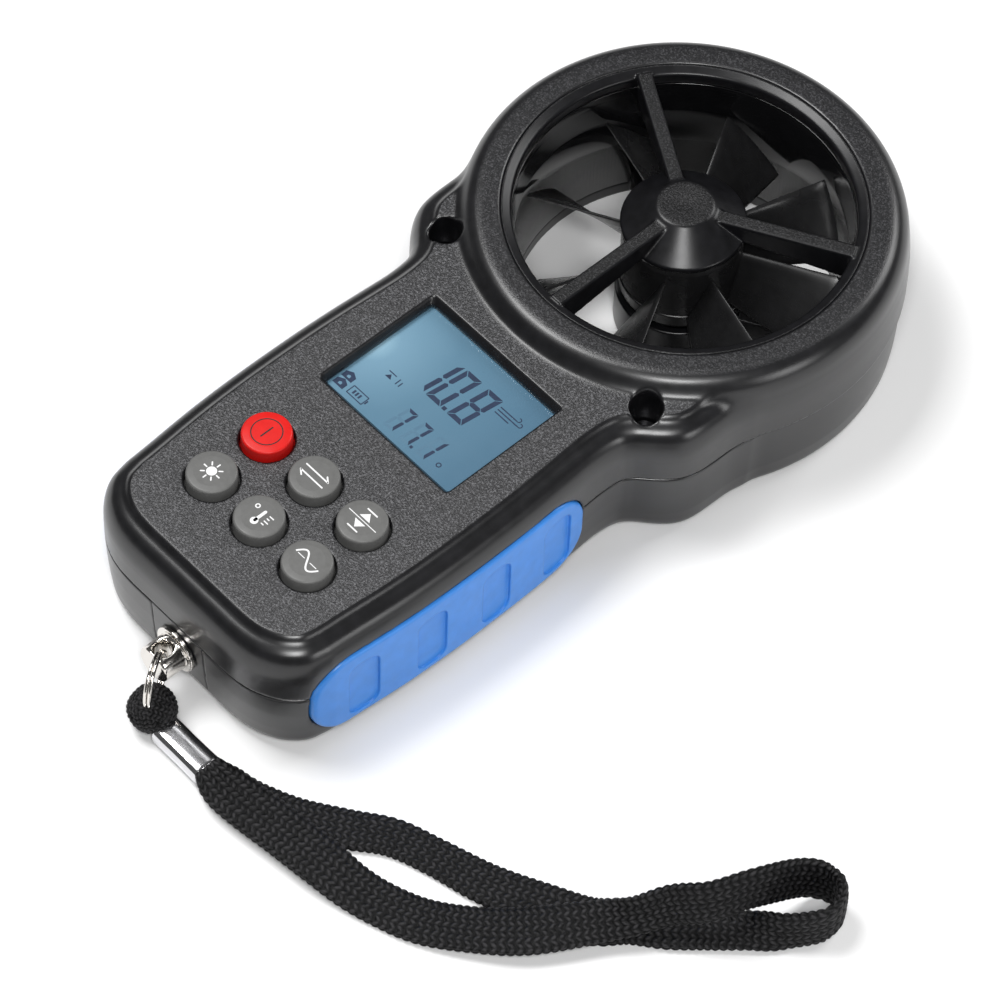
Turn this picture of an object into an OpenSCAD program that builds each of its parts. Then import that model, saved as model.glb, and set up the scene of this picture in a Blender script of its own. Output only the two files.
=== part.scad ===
// Handheld weather meter lying on its back: a vane head in front, a hand-held body
// with a display and six keys, and a wrist strap on a ring at the tail.
// Millimetres. +Y points to the head, +Z out of the display face, the back rests on Z = 0.
// The origin is under the middle of the meter, without the ring and strap.

/* [Case] */
// Outer diameter of the vane head
head_d = 85; // [84:0.5:86]
// Distance from the head's centre to the tail wall
head_to_tail = 125; // [124:0.5:126]
// Width of the body at its widest, without the grips
body_w = 61.2; // [60.6:0.2:61.8]
// Height of the flat display face
face_z = 31; // [30.8:0.1:31.2]
// Height of the seam between the front and rear shells
seam_z = 17.5; // [17.3:0.1:17.7]
// Wall thickness of both shells
wall = 3; // [2.8:0.1:3.2]

/* [Vane head] */
// Diameter of the air duct at its front mouth
mouth_d = 64.8; // [64.4:0.2:65]
// Diameter of the impeller over its blade tips
impeller_d = 61.6; // [61:0.2:61.8]
// Number of impeller blades
blade_count = 8; // [6:1:9]
// Angle that a blade turns through from its lower to its upper edge
blade_turn = 22; // [18:1:26]

/* [Display] */
// Width of the display window
window_w = 33.4; // [33:0.2:34]
// Height of the display window
window_h = 26.5; // [26:0.1:27]

/* [Keys] */
// Diameter of a key cap
key_d = 9.6; // [9.2:0.1:9.8]
// Distance between neighbouring keys, both ways
key_pitch = 13; // [12.8:0.1:13.2]
// Travel of a key
key_travel = 0.8; // [0.5:0.1:0.9]

/* [Strap hardware] */
// Diameter of the strap post
post_d = 7.4; // [7.2:0.1:7.6]
// Length of the post outside the case
post_reach = 6; // [5.9:0.1:6.2]
// Width of the flat braided strap
strap_w = 10; // [9:0.5:10.5]
// Thickness of the strap
strap_t = 1.9; // [1.6:0.1:2]

/* [Hidden] */
$fn = 64;
big = 200;

// Plan
head_r = head_d / 2;
half_len = (head_r + head_to_tail + post_reach) / 2;
head_y = half_len - head_r;
tail_y = post_reach - half_len;
half_w = body_w / 2;
tail_corner_r = 11.5;
tail_corner_x = half_w - 13.3;
ear_r = 11.4;
ear_x = 26.6;
ear_y = head_y - 29.7;
cavity_head_r = 36.8;
duct_bore_r = 34.6;

// Right edge of the body in plan, tail to head: [x, y, outward normal x, outward normal y]
SIDE = [
    [tail_corner_x, tail_y, 0, -1],
    [half_w - 1.8, tail_y + tail_corner_r, 1, 0],
    [half_w - 0.3, head_y - 94, 1, 0],
    [half_w, head_y - 79, 1, 0],
    [half_w - 0.3, head_y - 63, 1, 0],
    [half_w - 1.2, head_y - 49, 1, 0],
    [half_w - 0.8, head_y - 44, 0.97, -0.25],
    [half_w + 1.3, head_y - 40.5, 0.8, -0.6],
    [half_w + 5, head_y - 36.6, 0.8, -0.6],
    [ear_x + ear_r, ear_y, 1, 0],
    [ear_x + ear_r, head_y - 18.8, 1, 0],
    [0, head_y, 0, 0]
];

// Levels
floor_t = 2;
top_wall = 2.4;
lip_z = face_z - 1.5;
head_top_z = face_z + 3.2;
board_z = 20.4;
board_t = 1.6;
board_top = board_z + board_t;

// Grips: an inlay with round ends that straddles the seam
grip_y0 = tail_y + 7.7;
grip_y1 = head_y - 53;
grip_z0 = 4.5;
grip_z1 = 24.5;
grip_end_r = 8;
grip_proud = 0.5;
grip_depth = 1.2;
panel_w = 6.8;
panel_h = 15;
panel_pitch = 15.45;
panel_sink = 0.5;

// Case screws: two from the front in the ears, two from the back at the tail
screw_head_r = 2.7;
screw_head_h = 2.4;
screw_r = 1.45;
screw_bore_r = 1.5;
screw_well_r = 3.1;
boss_r = 4.6;
ear_screw = [27.25, head_y - 35.6];
ear_seat_z = 20.5;
tail_screw = [21.2, tail_y + 10];
tail_seat_z = 5;
tail_boss_r = 3.9;

// Display stack, from the lens down to the board
display_y = head_y - 61.5;
bezel_w = window_w + 1.7;
bezel_h = window_h + 2.6;
lens_w = window_w + 3.4;
lens_h = window_h + 3.3;
lens_t = lip_z - (face_z - top_wall);
lcd_w = 39;
lcd_h = 32;
lcd_t = 2.3;
lcd_top = face_z - top_wall - 0.1;
frame_wall = 3;
backlight_h = 26;
backlight_t = 2.9;
zebra_y = 14.6;

// Keys
key_top = 33.2;
key_gap = 0.3;
key_flange_r = key_d / 2 + 1;
key_flange_t = 1;
key_flange_top = face_z - top_wall - 0.05;
dome_top = key_flange_top - key_flange_t - key_travel - 0.1;
row_1 = head_y - 92;
row_2 = head_y - 105.1;
mat_y0 = row_2 - 6;
mat_y1 = row_1 + 6;
mat_t = 1.5;

// Duct, guards and impeller
mouth_r = mouth_d / 2;
throat_r = mouth_r - 0.8;
liner_r = duct_bore_r - 0.1;
liner_z0 = 3.2;
liner_z1 = 30.8;
throat_z1 = 27;
guard_top = face_z + 3;
spoke_w = 3;
spoke_z0 = 26.8;
SPOKES = [30, 150, 270];
cone_z0 = 28.9;
cone_base_r = 12;
cone_top_r = 5.2;
cone_top = 34.9;
rear_hub_r = 12.2;
rear_hub_top = 10.5;
rear_spoke_top = 6;
bearing_r = 2.5;
bearing_bore_r = 1.05;
shaft_r = 1;
shaft_z0 = 5.2;
shaft_z1 = 31;
impeller_r = impeller_d / 2;
impeller_hub_r = 11.6;
impeller_z0 = 12;
impeller_z1 = 28.2;
blade_z0 = 14.2;
blade_h = 10.6;
blade_t = 0.9;
blade_phase = 30;
magnet_r = 1.5;
magnet_at = 7;

// Sensors
cable_w = 2;
cable_t = 0.8;
cable_z = 4;
cable_rise_y = head_y - 43;
bead_angle = -70;
bead_z = 29;

// Battery
battery = [26.5, 48.5, 17.5];
battery_y0 = tail_y + 9;
battery_z0 = 2.2;
cover_w = 34;
cover_y0 = tail_y + 6.4;
cover_y1 = cover_y0 + 54.7;
cover_gap = 0.15;

// Strap hardware
post_r = post_d / 2;
post_z = 10.5;
post_flange_r = 4.8;
post_shank_r = 2.4;
post_hole_y = tail_y - 3.3;
post_hole_r = 1.6;
post_mouth_r = 2.1;
block_w = 14;
block_depth = 5;
nut_t = 3.2;
ring_r = 5.3;
ring_wire_r = 0.42;
ring_back = 0.35;
ring_turn = -57.6;
knot_r = 4.6;
knot_at = [4, tail_y - 9.6, 4.7];
crimp_x0 = 7.4;
crimp_x1 = 19.4;
crimp_y = tail_y - 9.9;
crimp_w = 6.2;
crimp_z0 = 0.25;
crimp_t = 4.3;

// The strap's route, from the crimp out to the end of the loop and back into the crimp.
// Each point is [x, y, z, roll, width]; roll 0 lies flat, 90 stands on edge, 180 lies turned over.
ROUTE = [
    [19.4, -90.6, 1.3, 0, 0.56],
    [24, -90.1, 1.15, 0, 0.86],
    [30, -88.4, 1.05, 0, 0.9],
    [37, -85, 1, 0, 0.86],
    [44.6, -79.6, 1, 0, 0.8],
    [51.4, -74.6, 1, 0, 0.76],
    [59.5, -71.6, 1, 0, 0.74],
    [70, -68.4, 1, 0, 0.82],
    [80, -64, 1, 0, 0.92],
    [87.5, -60, 1.1, 0, 0.94],
    [92, -55, 1.1, 0, 0.9],
    [97.5, -50.5, 1.1, 0, 0.88],
    [102.5, -45.5, 1.4, -3, 0.84],
    [108, -41, 2.5, -26, 0.7],
    [113, -37, 4.1, -74, 0.78],
    [117, -31.6, 5.2, -90, 1],
    [116.6, -27.2, 5.2, -90, 1],
    [113.7, -24.9, 5.2, -92, 1],
    [110.5, -26, 5.7, -95, 0.96],
    [108, -30, 7.9, -98, 0.96],
    [105.5, -38.5, 11, -102, 0.92],
    [102.5, -46, 11.1, -108, 0.88],
    [97.5, -50.5, 8.5, -116, 0.8],
    [94, -55.5, 6.2, -132, 0.7],
    [90, -60, 4.3, -160, 0.76],
    [82.2, -70.6, 3, -180, 0.94],
    [75.4, -77.1, 2.2, -180, 0.9],
    [68, -82.1, 1.2, -180, 0.9],
    [60.8, -85.1, 1.1, -180, 0.88],
    [54.4, -87, 1.8, -180, 0.9],
    [47.5, -88.2, 3.1, -180, 0.95],
    [38.5, -89.3, 3.2, -180, 0.95],
    [30, -90.4, 3.2, -180, 0.95],
    [24, -90.9, 3.35, -180, 0.88],
    [19.4, -90.6, 3.5, -180, 0.56]
];
STEPS = 2;

// ---- helpers ----

module both_sides() {
    children();
    mirror([1, 0, 0]) children();
}

module at_head(z = 0) {
    translate([0, head_y, z]) children();
}

module block(x0, x1, y0, y1, z0, z1) {
    translate([x0, y0, z0]) cube([x1 - x0, y1 - y0, z1 - z0]);
}

module post_axis(y) {
    translate([0, y, post_z]) rotate([90, 0, 0]) children();
}

// Plan outline of the case, moved inwards by inset
module case_outline(inset = 0) {
    right = [for (p = SIDE) [p[0] - p[2] * inset, p[1] - p[3] * inset]];
    left = [for (i = [len(right) - 1:-1:0]) [-right[i][0], right[i][1]]];
    polygon(concat(right, left));
    translate([0, head_y]) circle(r = head_r - inset);
    both_sides() {
        translate([tail_corner_x, tail_y + tail_corner_r]) circle(r = tail_corner_r - inset);
        translate([ear_x, ear_y]) circle(r = ear_r - inset);
    }
}

module case_layer(z0, z1, inset = 0) {
    translate([0, 0, z0]) linear_extrude(z1 - z0) case_outline(inset);
}

// Hollow space inside the walls, round the duct; narrower under the front shoulder
module cavity(z0, z1) {
    difference() {
        union() {
            case_layer(z0, min(z1, 25), wall);
            case_layer(z0, z1, wall + 2.8);
        }
        at_head(z0 - 1) cylinder(r = cavity_head_r, h = z1 - z0 + 2);
    }
}

// Seen from the side: the grip's outline as a prism across the whole case
module grip_prism(grow = 0) {
    z_mid = (grip_z0 + grip_z1) / 2;
    straight = (grip_z1 - grip_z0) / 2 - grip_end_r;
    rotate([90, 0, 90]) translate([0, 0, -big / 2]) linear_extrude(big) {
        for (y = [grip_y0 + grip_end_r, grip_y1 - grip_end_r])
            for (z = [z_mid - straight, z_mid + straight])
                translate([y, z]) circle(r = grip_end_r + grow);
        translate([grip_y0 + grip_end_r, grip_z0 - grow])
            square([grip_y1 - grip_y0 - 2 * grip_end_r, grip_z1 - grip_z0 + 2 * grow]);
        translate([grip_y0 - grow, z_mid - straight])
            square([grip_y1 - grip_y0 + 2 * grow, 2 * straight]);
    }
}

// The band that a grip fills: from just under the side wall's surface to just over it
module grip_band(proud) {
    intersection() {
        grip_prism();
        difference() {
            case_layer(grip_z0 - 1, grip_z1 + 1, -proud);
            case_layer(grip_z0 - 2, grip_z1 + 2, grip_depth);
        }
    }
}

// The shallow pads sunk into a grip's face
module grip_panels() {
    z_mid = (grip_z0 + grip_z1) / 2 - 0.8;
    intersection() {
        for (i = [0:3])
            translate([0, grip_y0 + 10.9 + i * panel_pitch, z_mid])
                cube([big, panel_w, panel_h], center = true);
        difference() {
            case_layer(grip_z0, grip_z1, -2 * grip_proud);
            case_layer(grip_z0 - 1, grip_z1 + 1, panel_sink - grip_proud);
        }
    }
}

module grip(side) {
    color("#4a86d8")
    difference() {
        intersection() {
            grip_band(grip_proud);
            block(side > 0 ? 0 : -big, side > 0 ? big : 0, -big, big, 0, big);
        }
        grip_panels();
    }
}

// Slot for the sensor's ribbon, from the rear hub to the body
module cable_slot(gap) {
    block(-cable_w / 2 - gap, cable_w / 2 + gap, cable_rise_y - cable_t - gap, head_y - 8,
          cable_z - gap, cable_z + cable_t + gap);
}

module bead_hole(r) {
    at_head(bead_z) rotate([0, 0, bead_angle]) rotate([0, 90, 0]) cylinder(r = r, h = 38);
}

// ---- case ----

module front_solid() {
    case_layer(seam_z, 24.6, 0);
    case_layer(24.6, 26.4, 0.4);
    case_layer(26.4, 28, 1.1);
    case_layer(28, 29.2, 2.3);
    case_layer(29.2, 30, 3.8);
    case_layer(30, face_z, 5.4);
    at_head(seam_z) cylinder(r = head_r, h = 12);
    at_head(seam_z) cylinder(r = head_r - 1.5, h = 14.3);
    at_head(seam_z) cylinder(r = head_r - 4, h = head_top_z - seam_z);
}

module key_wells() {
    for (k = KEYS)
        translate([k[0], k[1], lip_z - 2]) cylinder(r = key_d / 2 + key_gap, h = 6);
}

module window_cut() {
    translate([0, display_y, 0]) {
        block(-window_w / 2, window_w / 2, -window_h / 2, window_h / 2, lip_z - 1, face_z + 1);
        block(-bezel_w / 2, bezel_w / 2, -bezel_h / 2, bezel_h / 2, face_z - 0.8, face_z + 1);
        block(-lens_w / 2 - 0.1, lens_w / 2 + 0.1, -lens_h / 2 - 0.1, lens_h / 2 + 0.1,
              face_z - top_wall - 1, lip_z);
    }
}

module front_shell() {
    color("#26272a")
    difference() {
        union() {
            difference() {
                front_solid();
                cavity(seam_z - 1, face_z - top_wall);
            }
            intersection() {
                front_solid();
                both_sides() {
                    translate([ear_screw[0], ear_screw[1], seam_z])
                        cylinder(r = boss_r, h = face_z - 1 - seam_z);
                    translate([tail_screw[0], tail_screw[1], seam_z])
                        cylinder(r = tail_boss_r, h = face_z - 2 - seam_z);
                }
            }
        }
        at_head(seam_z - 1) cylinder(r = duct_bore_r, h = 20);
        both_sides() {
            translate([ear_screw[0], ear_screw[1], seam_z - 1]) cylinder(r = screw_bore_r, h = 8);
            translate([ear_screw[0], ear_screw[1], ear_seat_z]) cylinder(r = screw_well_r, h = 20);
            translate([tail_screw[0], tail_screw[1], seam_z - 1]) cylinder(r = screw_bore_r, h = 9);
        }
        key_wells();
        window_cut();
        bead_hole(0.9);
        grip_band(big / 10);
    }
}

module rear_solid() {
    case_layer(0, 0.8, 3.6);
    case_layer(0.8, 2, 2);
    case_layer(2, 3.8, 0.9);
    case_layer(3.8, seam_z, 0);
}

module cover_opening(gap, z1) {
    block(-cover_w / 2 - gap, cover_w / 2 + gap, cover_y0 - gap, cover_y1 + gap, -1, z1);
}

module block_space(gap) {
    block(-block_w / 2 - gap, block_w / 2 + gap, tail_y - 1, tail_y + block_depth, -1, seam_z + 1);
}

module rear_shell() {
    color("#26272a")
    difference() {
        union() {
            difference() {
                rear_solid();
                cavity(floor_t, seam_z + 1);
            }
            intersection() {
                rear_solid();
                both_sides() {
                    translate([ear_screw[0], ear_screw[1], 1])
                        cylinder(r = boss_r, h = seam_z - 1);
                    translate([tail_screw[0], tail_screw[1], 1])
                        cylinder(r = tail_boss_r, h = seam_z - 1);
                    block(cover_w / 2 + 0.5, cover_w / 2 + 2, cover_y0 + 9, cover_y1 - 1, 1,
                          seam_z);
                }
            }
        }
        at_head(-1) cylinder(r = duct_bore_r, h = 20);
        both_sides() {
            translate([ear_screw[0], ear_screw[1], 6]) cylinder(r = screw_bore_r, h = 20);
            translate([tail_screw[0], tail_screw[1], -1]) cylinder(r = screw_bore_r, h = 20);
            translate([tail_screw[0], tail_screw[1], -1])
                cylinder(r = screw_well_r, h = tail_seat_z + 1);
        }
        cover_opening(cover_gap, floor_t + 1);
        block_space(0);
        cable_slot(0.1);
        grip_band(big / 10);
    }
}

// Battery door in the back, with a latch tongue at the tail end and finger ridges
module battery_cover() {
    ridge_count = 5;
    color("#26272a")
    difference() {
        union() {
            block(-cover_w / 2, cover_w / 2, cover_y0, cover_y1, 0, floor_t - 0.1);
            block(-5, 5, cover_y0 + 0.6, cover_y0 + 1.8, floor_t - 0.2, 5);
        }
        for (i = [0:ridge_count - 1])
            block(-8, 8, cover_y0 + 5 + 2 * i, cover_y0 + 6 + 2 * i, -1, 0.5);
    }
}

// Block in the tail wall that carries the strap post
module anchor_block() {
    side_gap = 0.08;
    color("#26272a")
    difference() {
        intersection() {
            rear_solid();
            block(-block_w / 2 + side_gap, block_w / 2 - side_gap, tail_y - 1,
                  tail_y + block_depth, 0, seam_z);
        }
        post_axis(tail_y + block_depth + 1) cylinder(r = post_shank_r, h = block_depth + 2);
    }
}

module grip_left() {
    grip(-1);
}

module grip_right() {
    grip(1);
}

// Screw with a pan head below z = 0 and its shank up to length
module case_screw(length) {
    translate([0, 0, -screw_head_h]) cylinder(r = screw_head_r, h = screw_head_h);
    cylinder(r = screw_r, h = length);
}

module case_screws() {
    color("#9a9b9d")
    difference() {
        both_sides() {
            translate([ear_screw[0], ear_screw[1], ear_seat_z]) rotate([180, 0, 0]) case_screw(12);
            translate([tail_screw[0], tail_screw[1], tail_seat_z]) case_screw(19);
        }
        both_sides() {
            translate([ear_screw[0], ear_screw[1], ear_seat_z + screw_head_h])
                cross_recess();
            translate([tail_screw[0], tail_screw[1], tail_seat_z - screw_head_h])
                cross_recess();
        }
    }
}

module cross_recess() {
    cube([3, 0.8, 2], center = true);
    cube([0.8, 3, 2], center = true);
}

// ---- vane head ----

module duct_liner() {
    color("#141416")
    difference() {
        at_head(liner_z0) cylinder(r = liner_r, h = liner_z1 - liner_z0);
        at_head(liner_z0 - 1) cylinder(r = throat_r, h = 40);
        at_head(throat_z1) cylinder(r = mouth_r, h = 10);
        cable_slot(0.1);
        bead_hole(0.9);
        for (a = SPOKES) {
            spoke(a, spoke_w + 0.1, spoke_z0 - 0.1, 40, throat_r - 3);
            spoke(a, spoke_w + 0.1, 0, rear_spoke_top + 0.1, throat_r - 3);
        }
    }
}

// Radial bar from the hub to the rim
module spoke(angle, width, z0, z1, r0) {
    at_head() rotate([0, 0, angle]) block(r0, mouth_r + 0.6, -width / 2, width / 2, z0, z1);
}

module front_guard() {
    color("#26272a")
    difference() {
        union() {
            at_head(liner_z1)
                difference() {
                    cylinder(r = liner_r, h = guard_top - liner_z1);
                    translate([0, 0, -1]) cylinder(r = mouth_r, h = 10);
                }
            for (a = SPOKES) {
                spoke(a, spoke_w, spoke_z0, guard_top, cone_base_r + 0.6);
                spoke(a, spoke_w, cone_z0 + 0.4, guard_top, 3);
            }
            at_head(cone_z0) cylinder(r = cone_base_r, h = 1);
            at_head(cone_z0 + 1)
                cylinder(r1 = cone_base_r, r2 = cone_top_r, h = cone_top - cone_z0 - 1);
        }
        at_head(cone_z0 - 1) cylinder(r = bearing_r, h = 3.5);
    }
}

module rear_guard() {
    color("#1c1d1f")
    difference() {
        union() {
            at_head(0)
                difference() {
                    cylinder(r = liner_r, h = liner_z0);
                    translate([0, 0, -1]) cylinder(r = throat_r, h = 10);
                }
            for (a = SPOKES) spoke(a, spoke_w, 0.6, rear_spoke_top, rear_hub_r - 1);
            at_head(0.6)
                difference() {
                    cylinder(r = rear_hub_r, h = rear_hub_top - 0.6);
                    translate([0, 0, 2]) cylinder(r = rear_hub_r - 1.5, h = 20);
                }
            at_head(2) cylinder(r = bearing_r + 1.4, h = 6);
            at_head() block(-3, 3, -7.6, -3, 2.4, 5.2);
        }
        at_head(4.6) cylinder(r = bearing_r, h = 10);
        cable_slot(0.1);
    }
}

module bearing(z0, z1, bore_z0, bore_z1) {
    color("#b08a3c")
    difference() {
        at_head(z0) cylinder(r = bearing_r, h = z1 - z0);
        at_head(bore_z0) cylinder(r = bearing_bore_r, h = bore_z1 - bore_z0);
    }
}

module front_bearing() {
    bearing(cone_z0, cone_z0 + 2.5, cone_z0 - 1, shaft_z1 + 0.15);
}

module rear_bearing() {
    bearing(4.6, 8, shaft_z0 - 0.15, 9);
}

module impeller_shaft() {
    color("#c9cacc") at_head(shaft_z0) cylinder(r = shaft_r, h = shaft_z1 - shaft_z0);
}

// Vane wheel: a hub cup and thin helical blades
module impeller() {
    color("#0f0f11")
    difference() {
        union() {
            at_head(impeller_z0)
                difference() {
                    cylinder(r = impeller_hub_r, h = impeller_z1 - impeller_z0);
                    translate([0, 0, -1])
                        cylinder(r = impeller_hub_r - 1.2, h = impeller_z1 - impeller_z0 - 0.5);
                }
            at_head(impeller_z0) cylinder(r = 2.6, h = impeller_z1 - impeller_z0);
            at_head(blade_z0)
                for (i = [0:blade_count - 1])
                    rotate([0, 0, blade_phase - blade_turn + i * 360 / blade_count])
                        linear_extrude(blade_h, twist = -blade_turn, slices = 4)
                            translate([impeller_hub_r - 0.8, -blade_t / 2])
                                square([impeller_r - impeller_hub_r + 0.8, blade_t]);
        }
        at_head(impeller_z0 - 1) cylinder(r = shaft_r, h = 20);
        magnets(0);
    }
}

module magnets(gap) {
    for (a = [0, 180])
        at_head(impeller_z1 - 1.5) rotate([0, 0, a + 15])
            translate([magnet_at, 0, -1]) cylinder(r = magnet_r + gap, h = 1.8);
}

// Two disc magnets in the hub's top plate, which the sensor counts
module sensor_magnets() {
    color("#8b8d90") magnets(0);
}

module rotation_sensor() {
    color("#2e6b3a") at_head() block(-3.5, 3.5, -9.6, -5, 5.2, 6.4);
    color("#16171a") at_head() block(-1.6, 1.6, -8.6, -6.6, 6.4, 8);
}

// Flat ribbon from the sensor through a rear spoke to the board
module sensor_cable() {
    x = cable_w / 2;
    color("#c8c4b8")
    union() {
        block(-x, x, cable_rise_y, head_y - 8.2, cable_z, cable_z + cable_t);
        block(-x, x, cable_rise_y, cable_rise_y + cable_t, cable_z, board_z);
        block(-x, x, head_y - 9, head_y - 8.2, cable_z, 5.2);
    }
}

// Thermistor bead on its stem, just inside the duct's mouth
module temperature_sensor() {
    color("#3c3f3a")
    at_head(bead_z) rotate([0, 0, bead_angle]) translate([31, 0, 0]) rotate([0, 90, 0])
        rotate_extrude()
            polygon([[0, -1.1], [0.7, -0.9], [1.1, -0.3], [1.1, 0.3], [0.85, 0.7], [0.85, 7], [0, 7]]);
}

// ---- display and board ----

module centred(w, h, z0, z1) {
    translate([0, display_y, 0]) block(-w / 2, w / 2, -h / 2, h / 2, z0, z1);
}

module display_lens() {
    color([0.8, 0.9, 0.95, 0.35]) centred(lens_w, lens_h, lip_z - lens_t, lip_z);
}

module lcd_panel() {
    color("#8fb4cc") centred(lcd_w, lcd_h, lcd_top - lcd_t, lcd_top);
}

module backlight() {
    z1 = lcd_top - lcd_t - 0.05;
    color("#e8f2f6") centred(lcd_w - 0.4, backlight_h, z1 - backlight_t, z1);
}

module lcd_frame() {
    color("#e4e2da")
    difference() {
        centred(lcd_w + 2 * frame_wall, lcd_h + 2 * frame_wall, board_top, lcd_top);
        centred(lcd_w + 0.2, lcd_h + 0.2, board_top - 1, lcd_top + 1);
    }
}

module zebra_strip() {
    color("#d8849a")
    translate([0, display_y + zebra_y, 0])
        block(-18, 18, -1, 1, board_top, lcd_top - lcd_t);
}

module circuit_board() {
    color("#1f6b3c")
    difference() {
        translate([0, 0, board_z]) linear_extrude(board_t)
            intersection() {
                case_outline(wall + 0.5);
                translate([-40, tail_y]) square([80, head_y - 41.5 - tail_y]);
            }
        both_sides()
            translate([tail_screw[0], tail_screw[1], board_z - 1])
                cylinder(r = tail_boss_r + 0.3, h = 5);
    }
}

// Rubber sheet with a dome under each key
module key_mat() {
    color("#5b5d60")
    union() {
        block(-19.5, 19.5, mat_y0, mat_y1, board_top, board_top + mat_t);
        for (k = KEYS)
            translate([k[0], k[1], board_top + 1]) cylinder(r = 3.4, h = dome_top - board_top - 1);
    }
}

// ---- keys: [x, y] of each cap; the power key is the first ----

KEYS = [
    [-key_pitch, row_1], [0, row_1], [key_pitch, row_1],
    [-key_pitch, row_2], [0, row_2], [key_pitch, row_2]
];

module key_cap(k, shade) {
    base_z = key_flange_top - key_flange_t;
    color(shade)
    translate([k[0], k[1], 0]) {
        translate([0, 0, base_z]) cylinder(r = key_flange_r, h = key_flange_t);
        translate([0, 0, base_z]) cylinder(r = key_d / 2, h = key_top - 0.5 - base_z);
        translate([0, 0, key_top - 0.6]) cylinder(r1 = key_d / 2, r2 = key_d / 2 - 0.5, h = 0.6);
    }
}

module button_power() {
    key_cap(KEYS[0], "#d8201c");
}

module button_units() {
    key_cap(KEYS[1], "#6f6f6d");
}

module button_maxmin() {
    key_cap(KEYS[2], "#6f6f6d");
}

module button_light() {
    key_cap(KEYS[3], "#6f6f6d");
}

module button_temperature() {
    key_cap(KEYS[4], "#6f6f6d");
}

module button_average() {
    key_cap(KEYS[5], "#6f6f6d");
}

// ---- battery ----

module at_battery() {
    translate([0, battery_y0, battery_z0]) children();
}

module battery() {
    color("#8f9296")
    at_battery() {
        block(-battery[0] / 2, battery[0] / 2, 0, battery[1], 0, battery[2]);
        both_sides()
            translate([6.35, battery[1] - 0.1, battery[2] / 2]) rotate([-90, 0, 0])
                cylinder(r = 2.8, h = 2.6);
    }
}

module battery_clip() {
    color("#1b1b1d")
    at_battery()
        difference() {
            block(-12.5, 12.5, battery[1] + 0.6, battery[1] + 3.6, 4, 13.5);
            both_sides()
                translate([6.35, battery[1] - 1, battery[2] / 2]) rotate([-90, 0, 0])
                    cylinder(r = 2.9, h = 4);
        }
}

module battery_leads() {
    z0 = battery_z0 + 13.5;
    color("#b02020")
    both_sides()
        translate([4, battery_y0 + battery[1] + 2.1, z0]) cylinder(r = 0.6, h = board_z - z0);
}

// ---- strap hardware ----

module strap_post() {
    color("#d6d3cd")
    difference() {
        union() {
            post_axis(tail_y) cylinder(r = post_r, h = post_reach);
            post_axis(tail_y) cylinder(r = post_flange_r, h = 0.9);
            post_axis(tail_y + block_depth + nut_t + 0.4)
                cylinder(r = post_shank_r, h = block_depth + nut_t + 0.5);
        }
        translate([0, post_hole_y, 0]) cylinder(r = post_hole_r, h = 30);
        for (s = [-1, 1])
            translate([0, post_hole_y, post_z + s * 3]) rotate([s > 0 ? 0 : 180, 0, 0])
                cylinder(r1 = post_hole_r, r2 = post_mouth_r + 0.2, h = 1);
    }
}

module post_nut() {
    color("#c3c1bc")
    difference() {
        post_axis(tail_y + block_depth + nut_t) cylinder(r = 4.2, h = nut_t, $fn = 6);
        post_axis(tail_y + block_depth + nut_t + 1) cylinder(r = post_shank_r, h = nut_t + 2);
    }
}

// The ring's plane, with its centre at the origin
module at_ring() {
    translate([0, post_hole_y, post_z]) rotate([0, 0, ring_turn])
        translate([ring_r - ring_back, 0, 0]) rotate([90, 0, 0]) children();
}

// Two turns of wire side by side, standing upright in the post's hole
module split_ring() {
    color("#d6d3cd")
    at_ring()
        rotate_extrude() translate([ring_r, 0]) {
            translate([0, ring_wire_r]) circle(r = ring_wire_r, $fn = 24);
            translate([0, -ring_wire_r]) circle(r = ring_wire_r, $fn = 24);
            square([2 * ring_wire_r, 2 * ring_wire_r], center = true);
        }
}

module strap_knot() {
    color("#141415")
    difference() {
        translate(knot_at) scale(knot_r)
            rotate_extrude()
                polygon([[0, -1], [0.5, -0.9], [0.87, -0.5], [1, 0], [0.87, 0.5], [0.5, 0.9], [0, 1]]);
        at_ring()
            difference() {
                cylinder(r = ring_r + ring_wire_r + 0.05, h = 4 * ring_wire_r + 0.1, center = true);
                cylinder(r = ring_r - ring_wire_r - 0.05, h = 4, center = true);
            }
        block(crimp_x0, crimp_x1, crimp_y - crimp_w, crimp_y + crimp_w, -1, 12);
    }
}

// Flat metal sleeve that clamps both ends of the strap
module strap_crimp() {
    edge = 0.8;
    color("#c9cacc")
    block(crimp_x0, crimp_x1, crimp_y - crimp_w / 2, crimp_y + crimp_w / 2, crimp_z0 + edge,
          crimp_z0 + crimp_t - edge);
    color("#c9cacc")
    block(crimp_x0, crimp_x1, crimp_y - crimp_w / 2 + edge, crimp_y + crimp_w / 2 - edge, crimp_z0,
          crimp_z0 + crimp_t);
}

// ---- strap ----

// Smooth curve through the route: Catmull-Rom between neighbouring points
function blend(a, b, c, d, t) =
    0.5 * (2 * b + (c - a) * t + (2 * a - 5 * b + 4 * c - d) * t * t
           + (3 * b - a - 3 * c + d) * t * t * t);
function route_at(i) = ROUTE[min(max(i, 0), len(ROUTE) - 1)];
PATH = [
    for (i = [0:len(ROUTE) - 2]) for (s = [0:STEPS - 1])
        blend(route_at(i - 1), route_at(i), route_at(i + 1), route_at(i + 2), s / STEPS),
    ROUTE[len(ROUTE) - 1]
];
function unit(v) = v / norm(v);
function along(i) =
    i == 0 ? [1, 0, 0] :
    i == len(PATH) - 1 ? [-1, 0, 0] :
    let (a = PATH[i - 1], b = PATH[i + 1]) unit([b[0] - a[0], b[1] - a[1], b[2] - a[2]]);
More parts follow.
